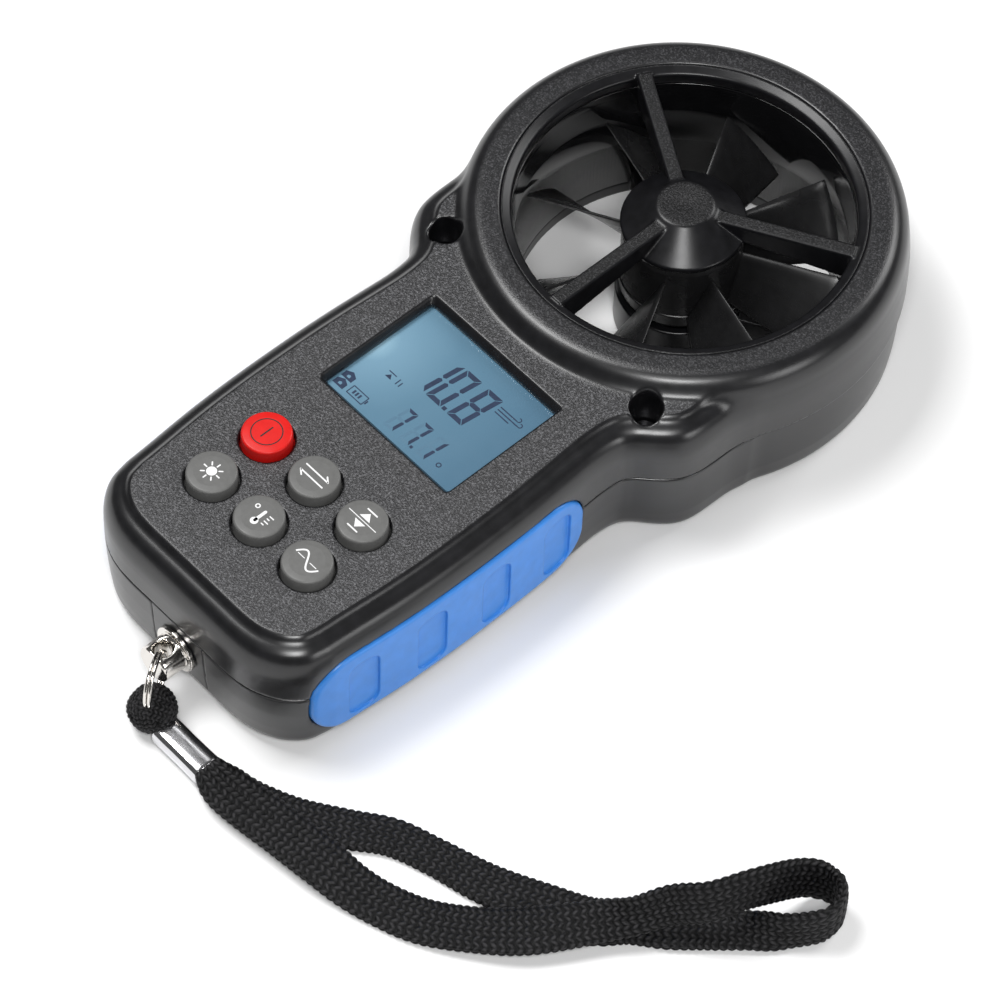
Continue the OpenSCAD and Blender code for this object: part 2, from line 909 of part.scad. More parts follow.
// The strap's section as eight points of [across, thick], both as parts of one half
SECTION = [[1, 0.5], [0.86, 1], [-0.86, 1], [-1, 0.5], [-1, -0.5], [-0.86, -1], [0.86, -1], [1, -0.5]];
function strap_ring(i) =
    let (
        p = PATH[i],
        t = along(i),
        level = unit(cross(t, [0, 0, 1])),
        up = cross(level, t),
        across = level * cos(p[3]) + up * sin(p[3]),
        thick = cross(across, t)
    )
    [for (q = SECTION)
        [p[0], p[1], p[2]] + across * (q[0] * p[4] * strap_w / 2) + thick * (q[1] * strap_t / 2)];

module wrist_strap() {
    sides = len(SECTION);
    last = len(PATH) - 1;
    points = [for (i = [0:last]) each strap_ring(i)];
    walls = [
        for (i = [0:last - 1]) for (j = [0:sides - 1])
            let (k = (j + 1) % sides)
            each [[i * sides + j, i * sides + k, (i + 1) * sides + k],
                  [i * sides + j, (i + 1) * sides + k, (i + 1) * sides + j]]
    ];
    start = [for (j = [sides - 1:-1:0]) j];
    end = [for (j = [0:sides - 1]) last * sides + j];
    color("#141415") polyhedron(points, concat(walls, [start, end]));
}

front_shell();
rear_shell();
battery_cover();
anchor_block();
grip_left();
grip_right();
case_screws();
duct_liner();
front_guard();
rear_guard();
front_bearing();
rear_bearing();
impeller();
impeller_shaft();
sensor_magnets();
rotation_sensor();
sensor_cable();
temperature_sensor();
display_lens();
lcd_panel();
backlight();
lcd_frame();
zebra_strip();
circuit_board();
key_mat();
button_power();
button_units();
button_maxmin();
button_light();
button_temperature();
button_average();
battery();
battery_clip();
battery_leads();
strap_post();
post_nut();
split_ring();
strap_knot();
strap_crimp();
wrist_strap();
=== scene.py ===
import math

import bpy
import numpy as np
from mathutils import Matrix, Vector


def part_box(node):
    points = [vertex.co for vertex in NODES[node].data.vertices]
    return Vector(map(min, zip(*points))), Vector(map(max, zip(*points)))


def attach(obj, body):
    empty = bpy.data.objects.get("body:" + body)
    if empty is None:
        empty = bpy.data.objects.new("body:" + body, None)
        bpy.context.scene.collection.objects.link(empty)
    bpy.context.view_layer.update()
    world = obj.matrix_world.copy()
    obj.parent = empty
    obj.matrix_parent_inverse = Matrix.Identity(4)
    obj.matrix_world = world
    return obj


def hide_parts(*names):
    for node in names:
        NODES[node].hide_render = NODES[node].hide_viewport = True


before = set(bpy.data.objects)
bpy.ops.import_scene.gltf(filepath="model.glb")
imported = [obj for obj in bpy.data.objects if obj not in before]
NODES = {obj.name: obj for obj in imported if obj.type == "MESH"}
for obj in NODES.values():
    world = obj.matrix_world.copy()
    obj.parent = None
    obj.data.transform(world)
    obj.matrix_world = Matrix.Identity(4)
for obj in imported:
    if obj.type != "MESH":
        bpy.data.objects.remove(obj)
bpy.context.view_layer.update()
MM = 0.001
# places on the case, in mm
HEAD_Y = 44.25      # centre of the vane head
TAIL_Y = -80.75     # tail wall
SEAM_Z = 17.5       # joint between the two shells
SEAM_GAP = 0.07     # half of the gap there
POST_Z = 10.5       # axis of the strap post
HOLE_Y = TAIL_Y - 3.3   # cross hole of the strap post
SHELL_STEP = 0.42   # grid of the two big shells
SNAPS = 3           # moves that bring a meshed field's points on to its surface
SLOPE_STEP = 0.02   # step over which a field's slope is measured


# ---------------- camera
def make_camera():
    """Long lens from the lower right, above the meter"""
    eye = Vector((394.88, -386.53, 769.44)) * MM
    forward = Vector((-0.41040, 0.40069, -0.81915)).normalized()
    upward = Vector((-0.6131, 0.5437, 0.5731))
    right = forward.cross(upward).normalized()
    up = right.cross(forward).normalized()
    camera = bpy.data.objects.new("camera", bpy.data.cameras.new("camera"))
    camera.data.lens = 180.75
    camera.data.sensor_width = 36
    camera.data.clip_end = 20
    pose = Matrix((right, up, -forward)).transposed().to_4x4()
    pose.translation = eye
    camera.matrix_world = pose
    bpy.context.scene.collection.objects.link(camera)
    bpy.context.scene.camera = camera


make_camera()


# ---------------- mesh helpers
def stand_in(piece, body, node_name, slot):
    """Make a piece move with a body and stand for a CAD node, which is hidden. slot is not used"""
    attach(piece, body)
    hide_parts(node_name)


def new_object(name, points, faces, material, smooth=True, tone=None):
    """points in mm. faces is a list of index lists, or an (n, 4) array. tone is a grey per point, kept as the
    tone attribute; the braid's material paints its highlights and shade from it
    """
    mesh = bpy.data.meshes.new(name)
    pts = np.asarray(points, dtype=np.float32) * MM
    if isinstance(faces, np.ndarray):
        mesh.vertices.add(len(pts))
        mesh.vertices.foreach_set("co", pts.ravel())
        mesh.loops.add(faces.size)
        mesh.loops.foreach_set("vertex_index", faces.ravel().astype(np.int32))
        mesh.polygons.add(len(faces))
        mesh.polygons.foreach_set("loop_start", np.arange(len(faces), dtype=np.int32) * faces.shape[1])
        mesh.update(calc_edges=True)
        mesh.validate()
    else:
        mesh.from_pydata(pts.tolist(), [], faces)
        mesh.update()
    if smooth:
        mesh.polygons.foreach_set("use_smooth", np.ones(len(mesh.polygons), dtype=bool))
    if tone is not None:
        layer = mesh.color_attributes.new(name="tone", type="FLOAT_COLOR", domain="POINT")
        rgba = np.ones((len(pts), 4), dtype=np.float32)
        rgba[:, :3] = np.asarray(tone, dtype=np.float32).reshape(-1, 1)
        layer.data.foreach_set("color", rgba.ravel())
    obj = bpy.data.objects.new(name, mesh)
    bpy.context.scene.collection.objects.link(obj)
    mesh.materials.append(material)
    return obj


def grid_faces(rows, cols, wrap_rows=False, wrap_cols=False):
    """Quads over a rows x cols grid of points"""
    r = np.arange(rows if wrap_rows else rows - 1)
    c = np.arange(cols if wrap_cols else cols - 1)
    i, j = np.meshgrid(r, c, indexing="ij")
    i2, j2 = (i + 1) % rows, (j + 1) % cols
    return np.stack([i * cols + j, i * cols + j2, i2 * cols + j2, i2 * cols + j], axis=-1).reshape(-1, 4)


def lathe(name, profile, material, at, sides):
    """Closed surface of revolution about Z. profile is (radius, z), a ring or from axis to axis"""
    prof = np.array(profile, float)
    angle = np.arange(sides) * 2 * math.pi / sides
    pts = np.zeros((len(prof), sides, 3))
    pts[:, :, 0] = prof[:, 0:1] * np.cos(angle)
    pts[:, :, 1] = prof[:, 0:1] * np.sin(angle)
    pts[:, :, 2] = prof[:, 1:2]
    hollow = prof[0, 0] > 0
    pts = pts.reshape(-1, 3)
    faces = grid_faces(len(prof), sides, wrap_rows=hollow, wrap_cols=True)
    if not hollow:
        # the ends on the axis are single points
        last = (len(prof) - 1) * sides
        faces[faces < sides] = 0
        faces[faces >= last] = last
        corners = [list(dict.fromkeys(face)) for face in faces.tolist()]
        used = [0, *range(sides, last + 1)]
        index = {v: n for n, v in enumerate(used)}
        faces = [[index[v] for v in face] for face in corners if len(face) > 2]
        pts = pts[used]
    return new_object(name, pts + np.array(at), faces, material)


def rounded(points, radius, steps):
    """Profile with its inner corners rounded. Each point is (r, z) or (r, z, own radius)"""
    out = []
    for i, point in enumerate(points):
        corner = np.array(point[:2], float)
        if i in (0, len(points) - 1):
            out.append(tuple(corner))
            continue
        own = point[2] if len(point) > 2 else radius
        before = np.array(points[i - 1][:2], float) - corner
        after = np.array(points[i + 1][:2], float) - corner
        long_before, long_after = np.linalg.norm(before), np.linalg.norm(after)
        before, after = before / long_before, after / long_after
        half = math.acos(max(-1, min(1, float(before @ after)))) / 2
        cut = min(own / math.tan(half), 0.45 * long_before, 0.45 * long_after)
        start, end = corner + before * cut, corner + after * cut
        for s in range(steps + 1):
            k = s / steps
            out.append(tuple((1 - k) ** 2 * start + 2 * k * (1 - k) * corner + k * k * end))
    return out


# ---------------- solids from distance fields, negative inside
def smin(a, b, k):
    """Union, blended over a width k"""
    h = np.maximum(k - np.abs(a - b), 0) / k
    return np.minimum(a, b) - h * h * k * 0.25


def smax(a, b, k):
    """Intersection, blended over a width k"""
    return -smin(-a, -b, k)


def ease(k):
    """Smooth step from 0 to 1"""
    return k * k * (3 - 2 * k)


def field_mesh(name, field, low, high, step, material):
    """Closed mesh of the surface where field(x, y, z) is 0, by surface nets, in mm"""
    low, high = np.array(low, float), np.array(high, float)
    n = np.ceil((high - low) / step).astype(int) + 1
    axes = [low[i] + step * np.arange(n[i]) for i in range(3)]
    sampled = field(axes[0][:, None, None], axes[1][None, :, None], axes[2][None, None, :])
    values = np.broadcast_to(sampled, tuple(n)).astype(np.float32)
    inside = values < 0
    # number the cells that the surface passes through
    count = np.zeros(tuple(n - 1), dtype=np.int8)
    for i, j, k in np.ndindex(2, 2, 2):
        count += inside[i:n[0] - 1 + i, j:n[1] - 1 + j, k:n[2] - 1 + k]
    cells = np.argwhere((count > 0) & (count < 8))
    number = np.full(tuple(n - 1), -1, dtype=np.int32)
    number[tuple(cells.T)] = np.arange(len(cells), dtype=np.int32)
    # a cell's point is the mean of the places where the surface cuts its edges
    total = np.zeros((len(cells), 3))
    hits = np.zeros(len(cells))
    for axis in range(3):
        u, v = [a for a in range(3) if a != axis]
        for du, dv in np.ndindex(2, 2):
            corner = np.zeros(3, int)
            corner[u], corner[v] = du, dv
            start = cells + corner
            end = start.copy()
            end[:, axis] += 1
            f0, f1 = values[tuple(start.T)], values[tuple(end.T)]
            cut = (f0 < 0) != (f1 < 0)
            place_on_edge = np.tile(corner.astype(float), (len(cells), 1))
            place_on_edge[:, axis] = np.where(cut, f0 / np.where(cut, f0 - f1, 1), 0)
            total += place_on_edge * cut[:, None]
            hits += cut
    pts = (cells + total / hits[:, None]) * step + low
    # a quad joins the four cells round each edge that the surface cuts
    quads = []
    for axis in range(3):
        u, v = [a for a in range(3) if a != axis]
        lead = [slice(1, n[i] - 1) for i in range(3)]
        lead[axis] = slice(0, n[axis] - 1)
        tail = list(lead)
        tail[axis] = slice(1, n[axis])
        starts_in, ends_in = inside[tuple(lead)], inside[tuple(tail)]
        for want in (True, False):
            base = np.argwhere((starts_in == want) & (ends_in != want))
            base = base + np.array([lead[i].start for i in range(3)])
            quad = []
            for du, dv in ((1, 1), (0, 1), (0, 0), (1, 0)):
                cell = base.copy()
                cell[:, u] -= du
                cell[:, v] -= dv
                quad.append(number[tuple(cell.T)])
            quad = np.stack(quad, axis=1)
            quads.append(quad if want == (axis != 1) else quad[:, ::-1])
    # draw the points on to the exact surface, in a few short moves
    x, y, z = pts.T
    for _ in range(SNAPS):
        f0 = field(x, y, z)
        slope = np.stack([field(x + SLOPE_STEP, y, z) - f0, field(x, y + SLOPE_STEP, z) - f0,
                          field(x, y, z + SLOPE_STEP) - f0]) / SLOPE_STEP
        move = -f0 / np.maximum((slope * slope).sum(axis=0), 0.05) * slope
        length = np.sqrt((move * move).sum(axis=0))
        move *= np.minimum(1, 0.4 * step / np.maximum(length, 1e-9))
        x, y, z = x + move[0], y + move[1], z + move[2]
    return new_object(name, np.stack([x, y, z], axis=1), np.concatenate(quads), material)


def box_field(x, y, z, low, high, r=0.0):
    """Distance to a box with its edges rounded by r"""
    q = []
    for v, a, b in ((x, low[0], high[0]), (y, low[1], high[1]), (z, low[2], high[2])):
        q.append(np.abs(v - (a + b) / 2) - (b - a) / 2 + r)
    out = np.sqrt(sum(np.maximum(c, 0) ** 2 for c in q))
    return out + np.minimum(np.maximum(np.maximum(q[0], q[1]), q[2]), 0) - r


def polygon_distance(px, py, poly):
    """Signed distance to a closed polygon, negative inside"""
    best = np.full(px.shape, 1e9)
    inside = np.zeros(px.shape, dtype=bool)
    n = len(poly)
    for i in range(n):
        ax, ay = poly[i]
        bx, by = poly[(i + 1) % n]
        ex, ey = bx - ax, by - ay
        wx, wy = px - ax, py - ay
        t = np.clip((wx * ex + wy * ey) / max(ex * ex + ey * ey, 1e-12), 0, 1)
        dx, dy = wx - ex * t, wy - ey * t
        best = np.minimum(best, dx * dx + dy * dy)
        if ay != by:
            hit = ((ay > py) != (by > py)) & (px < ex * (py - ay) / ey + ax)
            inside ^= hit
    d = np.sqrt(best)
    return np.where(inside, -d, d)


class Table:
    """A field of two variables, kept on a grid and read back bilinearly"""

    def __init__(self, fn, low, high, step):
        self.low, self.step = low, step
        self.n = [int(math.ceil((high[i] - low[i]) / step)) + 1 for i in (0, 1)]
        u = low[0] + step * np.arange(self.n[0])
        v = low[1] + step * np.arange(self.n[1])
        self.values = fn(u[:, None] + 0 * v[None, :], v[None, :] + 0 * u[:, None])

    def __call__(self, u, v):
        a = np.clip((u - self.low[0]) / self.step, 0, self.n[0] - 1.001)
        b = np.clip((v - self.low[1]) / self.step, 0, self.n[1] - 1.001)
        i, j = a.astype(int), b.astype(int)
        s, t = a - i, b - j
        w = self.values
        return ((w[i, j] * (1 - t) + w[i, j + 1] * t) * (1 - s)
                + (w[i + 1, j] * (1 - t) + w[i + 1, j + 1] * t) * s)


def smooth_line(points, steps=6):
    """Catmull-Rom through the points"""
    p = np.array(points, float)
    p = np.vstack([2 * p[0] - p[1], p, 2 * p[-1] - p[-2]])
    out = []
    for i in range(1, len(p) - 2):
        a, b, c, d = p[i - 1:i + 3]
        for s in range(steps):
            t = s / steps
            out.append(0.5 * (2 * b + (c - a) * t + (2 * a - 5 * b + 4 * c - d) * t * t
                              + (3 * b - a - 3 * c + d) * t ** 3))
    out.append(p[-2])
    return np.array(out)


# ---------------- materials: t is a material's node tree and b its principled shader
def shader(name, colour, rough, metal=0.0, coat=0.0):
    """A principled material, its node tree and its shader"""
    m = bpy.data.materials.new(name)
    m.use_nodes = True
    t = m.node_tree
    b = t.nodes["Principled BSDF"]
    b.inputs["Base Color"].default_value = (*colour, 1)
    b.inputs["Roughness"].default_value = rough
    b.inputs["Metallic"].default_value = metal
    b.inputs["Coat Weight"].default_value = coat
    return m, t, b


def node(t, kind, **values):
    """A new node. values are its sockets' values or its own settings"""
    n = t.nodes.new(kind)
    for k, v in values.items():
        if k in n.inputs:
            n.inputs[k].default_value = v
        else:
            setattr(n, k, v)
    return n


def place(t):
    """The point's place on the object, in metres"""
    return node(t, "ShaderNodeTexCoord").outputs["Object"]


def noise(t, scale, detail=3.0, rough=0.6, where=None):
    n = node(t, "ShaderNodeTexNoise", Scale=scale, Detail=detail, Roughness=rough)
    t.links.new(where or place(t), n.inputs["Vector"])
    return n.outputs["Fac"]


def ramp(t, value, stops):
    """Colour from a value. stops are (position, colour)"""
    n = node(t, "ShaderNodeValToRGB")
    e = n.color_ramp.elements
    while len(e) < len(stops):
        e.new(0.5)
    for i, (p, c) in enumerate(stops):
        e[i].position = p
        e[i].color = (*c, 1)
    t.links.new(value, n.inputs["Fac"])
    return n.outputs["Color"]


def spread(t, value, low, high, start=0.0, end=1.0):
    """Map a value from start..end to low..high"""
    n = node(t, "ShaderNodeMapRange")
    for k, v in (("From Min", start), ("From Max", end), ("To Min", low), ("To Max", high)):
        n.inputs[k].default_value = v
    t.links.new(value, n.inputs["Value"])
    return n.outputs["Result"]


def maths(t, op, first, second):
    """Two values, or a value and a number, joined by a sum, product or maximum"""
    n = node(t, "ShaderNodeMath", operation=op)
    for i, v in enumerate((first, second)):
        if isinstance(v, float):
            n.inputs[i].default_value = v
        else:
            t.links.new(v, n.inputs[i])
    return n.outputs[0]


def blend_colours(t, share, first, second):
    """Mix of a colour socket and another, or a fixed colour"""
    n = node(t, "ShaderNodeMix", data_type="RGBA")
    t.links.new(share, n.inputs[0])
    t.links.new(first, n.inputs[6])
    if isinstance(second, tuple):
        n.inputs[7].default_value = second
    else:
        t.links.new(second, n.inputs[7])
    return n.outputs[2]


def bump(t, b, height, distance, strength):
    """Add fine relief, on top of any that the shader has"""
    n = node(t, "ShaderNodeBump", Strength=strength, Distance=distance)
    t.links.new(height, n.inputs["Height"])
    old = b.inputs["Normal"].links
    if old:
        t.links.new(old[0].from_socket, n.inputs["Normal"])
    t.links.new(n.outputs["Normal"], b.inputs["Normal"])


def upward_part(t, vector):
    """Z of a vector socket"""
    n = node(t, "ShaderNodeSeparateXYZ")
    t.links.new(vector, n.inputs["Vector"])
    return n.outputs["Z"]


def grained_case(name, bands=(), tone=1.0):
    """Black moulded plastic, satin, with a spark-eroded grain where it faces up. The grain is coloured
    lighter than the plastic, with bright specks: a painted sheen and sparkle for the lights' reflection in
    it.
    bands are (lowest, highest, share): heights in metres and how strong the grain and its painted sheen are
    there. tone scales the grain's colours, so its painted sheen, and the specular level"""
    m, t, b = shader(name, (0.006, 0.006, 0.0065), 0.25)
    colour, gloss = b.inputs["Base Color"], b.inputs["Roughness"]
    b.inputs["Specular IOR Level"].default_value = 0.6 * tone ** 0.5
    soft = noise(t, 420, 2.0, 0.5)
    satin = ramp(t, soft, [(0.3, (0.0045, 0.0045, 0.0052)), (0.7, (0.0075, 0.0075, 0.0088))])
    rough = spread(t, soft, 0.27, 0.33)
    if bands:
        height = upward_part(t, place(t))
        facing = upward_part(t, node(t, "ShaderNodeNewGeometry").outputs["Normal"])
        parts = []
        for low, high, share in bands:
            above = spread(t, height, 0, 1, low - 0.0006, low + 0.0001)
            below = spread(t, height, 1, 0, high, high + 0.0002)
            parts.append(maths(t, "MULTIPLY", maths(t, "MULTIPLY", above, below), share))
        mask = parts[0]
        for part in parts[1:]:
            mask = maths(t, "MAXIMUM", mask, part)
        mask = maths(t, "MULTIPLY", mask, spread(t, facing, 0, 1, 0.92, 0.995))
        fine = noise(t, 2700, 2.0, 0.8)
        # the grain's colours: dark pits, and bright specks that are painted sparkle and sheen
        grain_with_painted_sparkle = ramp(t, fine, [(stop, tuple(c * tone for c in grey)) for stop, grey in (
            (0.38, (0.006, 0.006, 0.007)), (0.52, (0.022, 0.022, 0.024)), (0.66, (0.13, 0.13, 0.138)))])
        t.links.new(blend_colours(t, mask, satin, grain_with_painted_sparkle), colour)
        t.links.new(maths(t, "ADD", rough, maths(t, "MULTIPLY", mask, 0.14)), gloss)
        bump(t, b, maths(t, "MULTIPLY", fine, mask), 0.0002, 0.8)
    else:
        t.links.new(satin, colour)
        t.links.new(rough, gloss)
    bump(t, b, noise(t, 1500, 2.0, 0.5), 0.000008, 0.4)
    return m


def plain(name, colour, rough, scale=600, depth=0.00002, vary=0.15, **more):
    """Moulded or painted surface with slight variation and a fine texture"""
    m, t, b = shader(name, colour, rough, **more)
    n = noise(t, scale, 3.0, 0.55)
    t.links.new(ramp(t, n, [(0.3, tuple(c * (1 - vary) for c in colour)),
                            (0.7, tuple(min(1, c * (1 + vary)) for c in colour))]), b.inputs["Base Color"])
    t.links.new(spread(t, noise(t, scale * 0.3, 2.0), rough * 0.85, rough * 1.15, 0.3, 0.7),
                b.inputs["Roughness"])
    bump(t, b, n, depth, 0.6)
    return m


def metal(name, colour, rough, scratch=900, streak=(1, 1, 1)):
    """Polished or ground metal with fine scratches"""
    m, t, b = shader(name, colour, rough, metal=1.0)
    mp = node(t, "ShaderNodeMapping")
    mp.inputs["Scale"].default_value = streak
    t.links.new(place(t), mp.inputs["Vector"])
    n = noise(t, scratch, 4.0, 0.65, mp.outputs["Vector"])
    t.links.new(spread(t, n, rough * 0.7, rough * 1.6, 0.3, 0.7), b.inputs["Roughness"])
    t.links.new(ramp(t, noise(t, 180, 2.0), [(0.3, tuple(c * 0.93 for c in colour)), (0.7, colour)]),
                b.inputs["Base Color"])
    bump(t, b, n, 0.000006, 0.4)
    return m


def braid_material():
    """Plaited yarn, with painted shade between the stitches and painted highlights along their crowns, taken
    from the tone attribute
    """
    m, t, b = shader("braided_cord", (0.008, 0.008, 0.009), 0.5)
    b.inputs["Specular IOR Level"].default_value = 0.16
    crown = node(t, "ShaderNodeAttribute", attribute_name="tone")
    n = noise(t, 1300, 3.0, 0.6)
    height = maths(t, "MULTIPLY", crown.outputs["Fac"], spread(t, n, 0.55, 1.3, 0.3, 0.7))
    # painted shade in the gaps, painted highlights on the crowns
    t.links.new(ramp(t, height, [(0.25, (0.0012, 0.0012, 0.0014)), (0.6, (0.006, 0.006, 0.0065)),
                                 (1.0, (0.032, 0.031, 0.033))]), b.inputs["Base Color"])
    t.links.new(spread(t, n, 0.42, 0.65, 0.3, 0.7), b.inputs["Roughness"])
    bump(t, b, noise(t, 7000, 2.0, 0.6), 0.00004, 0.7)
    return m


# the grain bands on the case and the guard carry a painted sheen; the guard's tone of 0.3 makes it fainter
CASE = grained_case("case_plastic", [(0.0308, 0.0312, 0.9), (0.0338, 0.0352, 0.42)])
REAR = grained_case("case_plastic_rear")
GUARD = grained_case("guard_plastic", [(0.0338, 0.0352, 1.0)], 0.3)
DUCT = plain("duct_plastic", (0.004, 0.004, 0.0045), 0.12, 300, 0.000006)
VANE = plain("vane_plastic", (0.011, 0.011, 0.0115), 0.28, 500, 0.00001)
BLUE = plain("grip_blue", (0.035, 0.225, 0.68), 0.36, 350, 0.000012, 0.06)
RED = plain("key_red", (0.6, 0.01, 0.008), 0.38, 700, 0.00001, 0.06)
GREY = plain("key_grey", (0.125, 0.125, 0.122), 0.42, 900, 0.00001, 0.06)
PRINT = plain("print_white", (0.75, 0.75, 0.75), 0.5, 900, 0.000004, 0.05)
INK = plain("print_black", (0.01, 0.01, 0.01), 0.4, 900, 0.000004, 0.05)
NICKEL = metal("nickel", (0.78, 0.75, 0.71), 0.1)
POLISHED = metal("crimp_steel", (0.74, 0.74, 0.76), 0.14, 500, (0.15, 1, 1))
# painted shade: the screws are made dark so that the deep wells beside the head read dark
SCREW_PAINTED_SHADE = metal("screw_painted_shade", (0.07, 0.07, 0.075), 0.35)
STEEL = metal("ground_steel", (0.6, 0.6, 0.61), 0.22)
BRONZE = metal("bearing_bronze", (0.6, 0.38, 0.15), 0.35)
CORD = braid_material()
for keys_finish in (GREY, RED):
    keys_finish.node_tree.nodes["Principled BSDF"].inputs["Specular IOR Level"].default_value = 0.3


# ---------------- strap
# from the crimp out to the end of the loop and back: x, y, z, roll in degrees, width
ROUTE = [
    (19.4, -90.6, 1.3, 0, 0.56), (24, -90.1, 1.15, 0, 0.86), (30, -88.4, 1.05, 0, 0.9),
    (37, -85, 1, 0, 0.86), (44.6, -79.6, 1, 0, 0.8), (51.4, -74.6, 1, 0, 0.76),
    (59.5, -71.6, 1, 0, 0.74), (70, -68.4, 1, 0, 0.82), (80, -64, 1, 0, 0.92),
    (87.5, -60, 1.1, 0, 0.94), (92, -55, 1.1, 0, 0.9), (97.5, -50.5, 1.1, 0, 0.88),
    (102.5, -45.5, 1.4, -3, 0.84), (108, -41, 2.5, -26, 0.7), (113, -37, 4.1, -74, 0.78),
    (117, -31.6, 5.2, -90, 1), (116.6, -27.2, 5.2, -90, 1), (113.7, -24.9, 5.2, -92, 1),
    (110.5, -26, 5.7, -95, 0.96), (108, -30, 7.9, -98, 0.96), (105.5, -38.5, 11, -102, 0.92),
    (102.5, -46, 11.1, -108, 0.88), (97.5, -50.5, 8.5, -116, 0.8), (94, -55.5, 6.2, -132, 0.7),
    (90, -60, 4.3, -160, 0.76), (82.2, -70.6, 3, -180, 0.94), (75.4, -77.1, 2.2, -180, 0.9),
    (68, -82.1, 1.2, -180, 0.9), (60.8, -85.1, 1.1, -180, 0.88), (54.4, -87, 1.8, -180, 0.9),
    (47.5, -88.2, 3.1, -180, 0.95), (38.5, -89.3, 3.2, -180, 0.95), (30, -90.4, 3.2, -180, 0.95),
    (24, -90.9, 3.35, -180, 0.88), (19.4, -90.6, 3.5, -180, 0.56),
]


def chevrons(along, across, pitch, column):
    """Height of a plaited surface, 0 to 1: slanted stitches that meet in chevrons"""
    place_across = across / column
    lean = np.where(np.floor(place_across).astype(int) % 2 == 0, 1.0, -1.0)
    v = place_across - np.floor(place_across)
    stitch = np.abs(np.sin(math.pi * (along / pitch + lean * (v - 0.5) * 0.55)))
    edge = np.clip(np.sin(math.pi * v), 0, 1)
    return stitch ** 0.7 * (0.35 + 0.65 * edge ** 0.5)


def flattened(angles, half_wide, half_high, power_wide, power_high):
    """Points round a flat section with soft edges"""
    c, s = np.cos(angles), np.sin(angles)
    return np.sign(c) * np.abs(c) ** power_wide * half_wide, np.sign(s) * np.abs(s) ** power_high * half_high


def end_faces(rows, cols):
    """The two polygons that close a tube of rows rings of cols points"""
    return [list(range(cols))[::-1], [(rows - 1) * cols + i for i in range(cols)]]


def make_strap():
    """The strap's flat braid along its route. Also gives its length and path in metres"""
    half_width, half_thick, pitch, columns, sides = 5.0, 0.95, 1.45, 18, 112
    line = smooth_line(ROUTE, 40)
    # even steps of 0.2 mm along the line
    run = np.concatenate([[0], np.cumsum(np.linalg.norm(np.diff(line[:, :3], axis=0), axis=1))])
    count = int(run[-1] / 0.2)
    s = np.linspace(0, run[-1], count)
    line = np.stack([np.interp(s, run, line[:, i]) for i in range(5)], axis=1)
    tangent = np.gradient(line[:, :3], axis=0)
    tangent[0], tangent[-1] = (1, 0, 0), (-1, 0, 0)
    tangent /= np.linalg.norm(tangent, axis=1)[:, None]
    level = np.cross(tangent, (0, 0, 1))
    level /= np.linalg.norm(level, axis=1)[:, None]
    up = np.cross(level, tangent)
    roll = np.radians(line[:, 3])[:, None]
    across = level * np.cos(roll) + up * np.sin(roll)
    face = np.cross(across, tangent)
    # round-edged flat section, even steps round it
    fine = flattened(np.linspace(0, 2 * math.pi, 2000, endpoint=False), half_width, half_thick, 0.42, 0.62)
    around = np.concatenate([[0], np.cumsum(np.hypot(*np.diff(fine)))])
    girth = around[-1] + math.hypot(fine[0][0] - fine[0][-1], fine[1][0] - fine[1][-1])
    q = np.arange(sides) * girth / sides
    px, pz = [np.interp(q, np.append(around, girth), np.append(v, v[0])) for v in fine]
    relief = chevrons(s[:, None], q[None, :], pitch, girth / columns)
    nx, nz = np.gradient(pz), -np.gradient(px)
    size = np.hypot(nx, nz)
    # the stitches flatten out towards both ends
    fade = np.clip(np.minimum(s, s[-1] - s) / 3, 0.4, 1)[:, None]
    lift = (relief - 0.62) * 0.42 * fade
    ox = px * line[:, 4:5] + nx / size * lift
    oz = pz + nz / size * lift
    pts = line[:, None, :3] + across[:, None, :] * ox[:, :, None] + face[:, None, :] * oz[:, :, None]
    pts[:, :, 2] = np.maximum(pts[:, :, 2], 0.02)
    flat = pts.reshape(-1, 3)
    faces = grid_faces(count, sides, wrap_cols=True).tolist()
    # each end is closed by a fan about its middle
    for k, ring in enumerate(end_faces(count, sides)):
        faces += [(ring[i], ring[(i + 1) % sides], len(flat) + k) for i in range(sides)]
    middles = [pts[0, ::-1].mean(axis=0), pts[-1].mean(axis=0)]
    # the relief goes in as tone too, for the braid's painted highlights on the crowns and painted shade
    # between the stitches
    obj = new_object("wrist_strap_braid", np.vstack([flat, middles]), faces, CORD,
                     tone=np.append(relief.ravel(), [0.2, 0.2]))
    stand_in(obj, "strap", "wrist_strap", "cord_black")
    path = (line[::12, :3] * MM).tolist() + [(line[-1, :3] * MM).tolist()]
    return obj, float(run[-1]) * MM, path


strap, strap_length, strap_path = make_strap()


def make_crimp():
    """Flat metal sleeve with a soft crown and a hollow through it"""
    sides, x0, x1, y, z = 72, 7.4, 19.6, TAIL_Y - 9.9, 2.4
    wide, high = flattened(np.linspace(0, 2 * math.pi, sides, endpoint=False), 3.1, 2.15, 0.55, 0.72)
    profile = [(x0, 0.55), (x0, 0.86), (x0 + 0.15, 0.96), (x0 + 0.5, 1.0), (x0 + 3, 0.985),
               ((x0 + x1) / 2, 0.97), (x1 - 3, 0.985), (x1 - 0.7, 1.0), (x1 - 0.2, 0.99), (x1, 0.93),
               (x1, 0.55)]
    rings = [np.stack([np.full(sides, x), wide * k + y, high * k + z], axis=1) for x, k in profile]
    faces = grid_faces(len(profile), sides, wrap_rows=True, wrap_cols=True)
    obj = new_object("crimp_sleeve", np.vstack(rings), faces, POLISHED)
    stand_in(obj, "strap", "strap_crimp", "crimp")
    return obj


crimp = make_crimp()


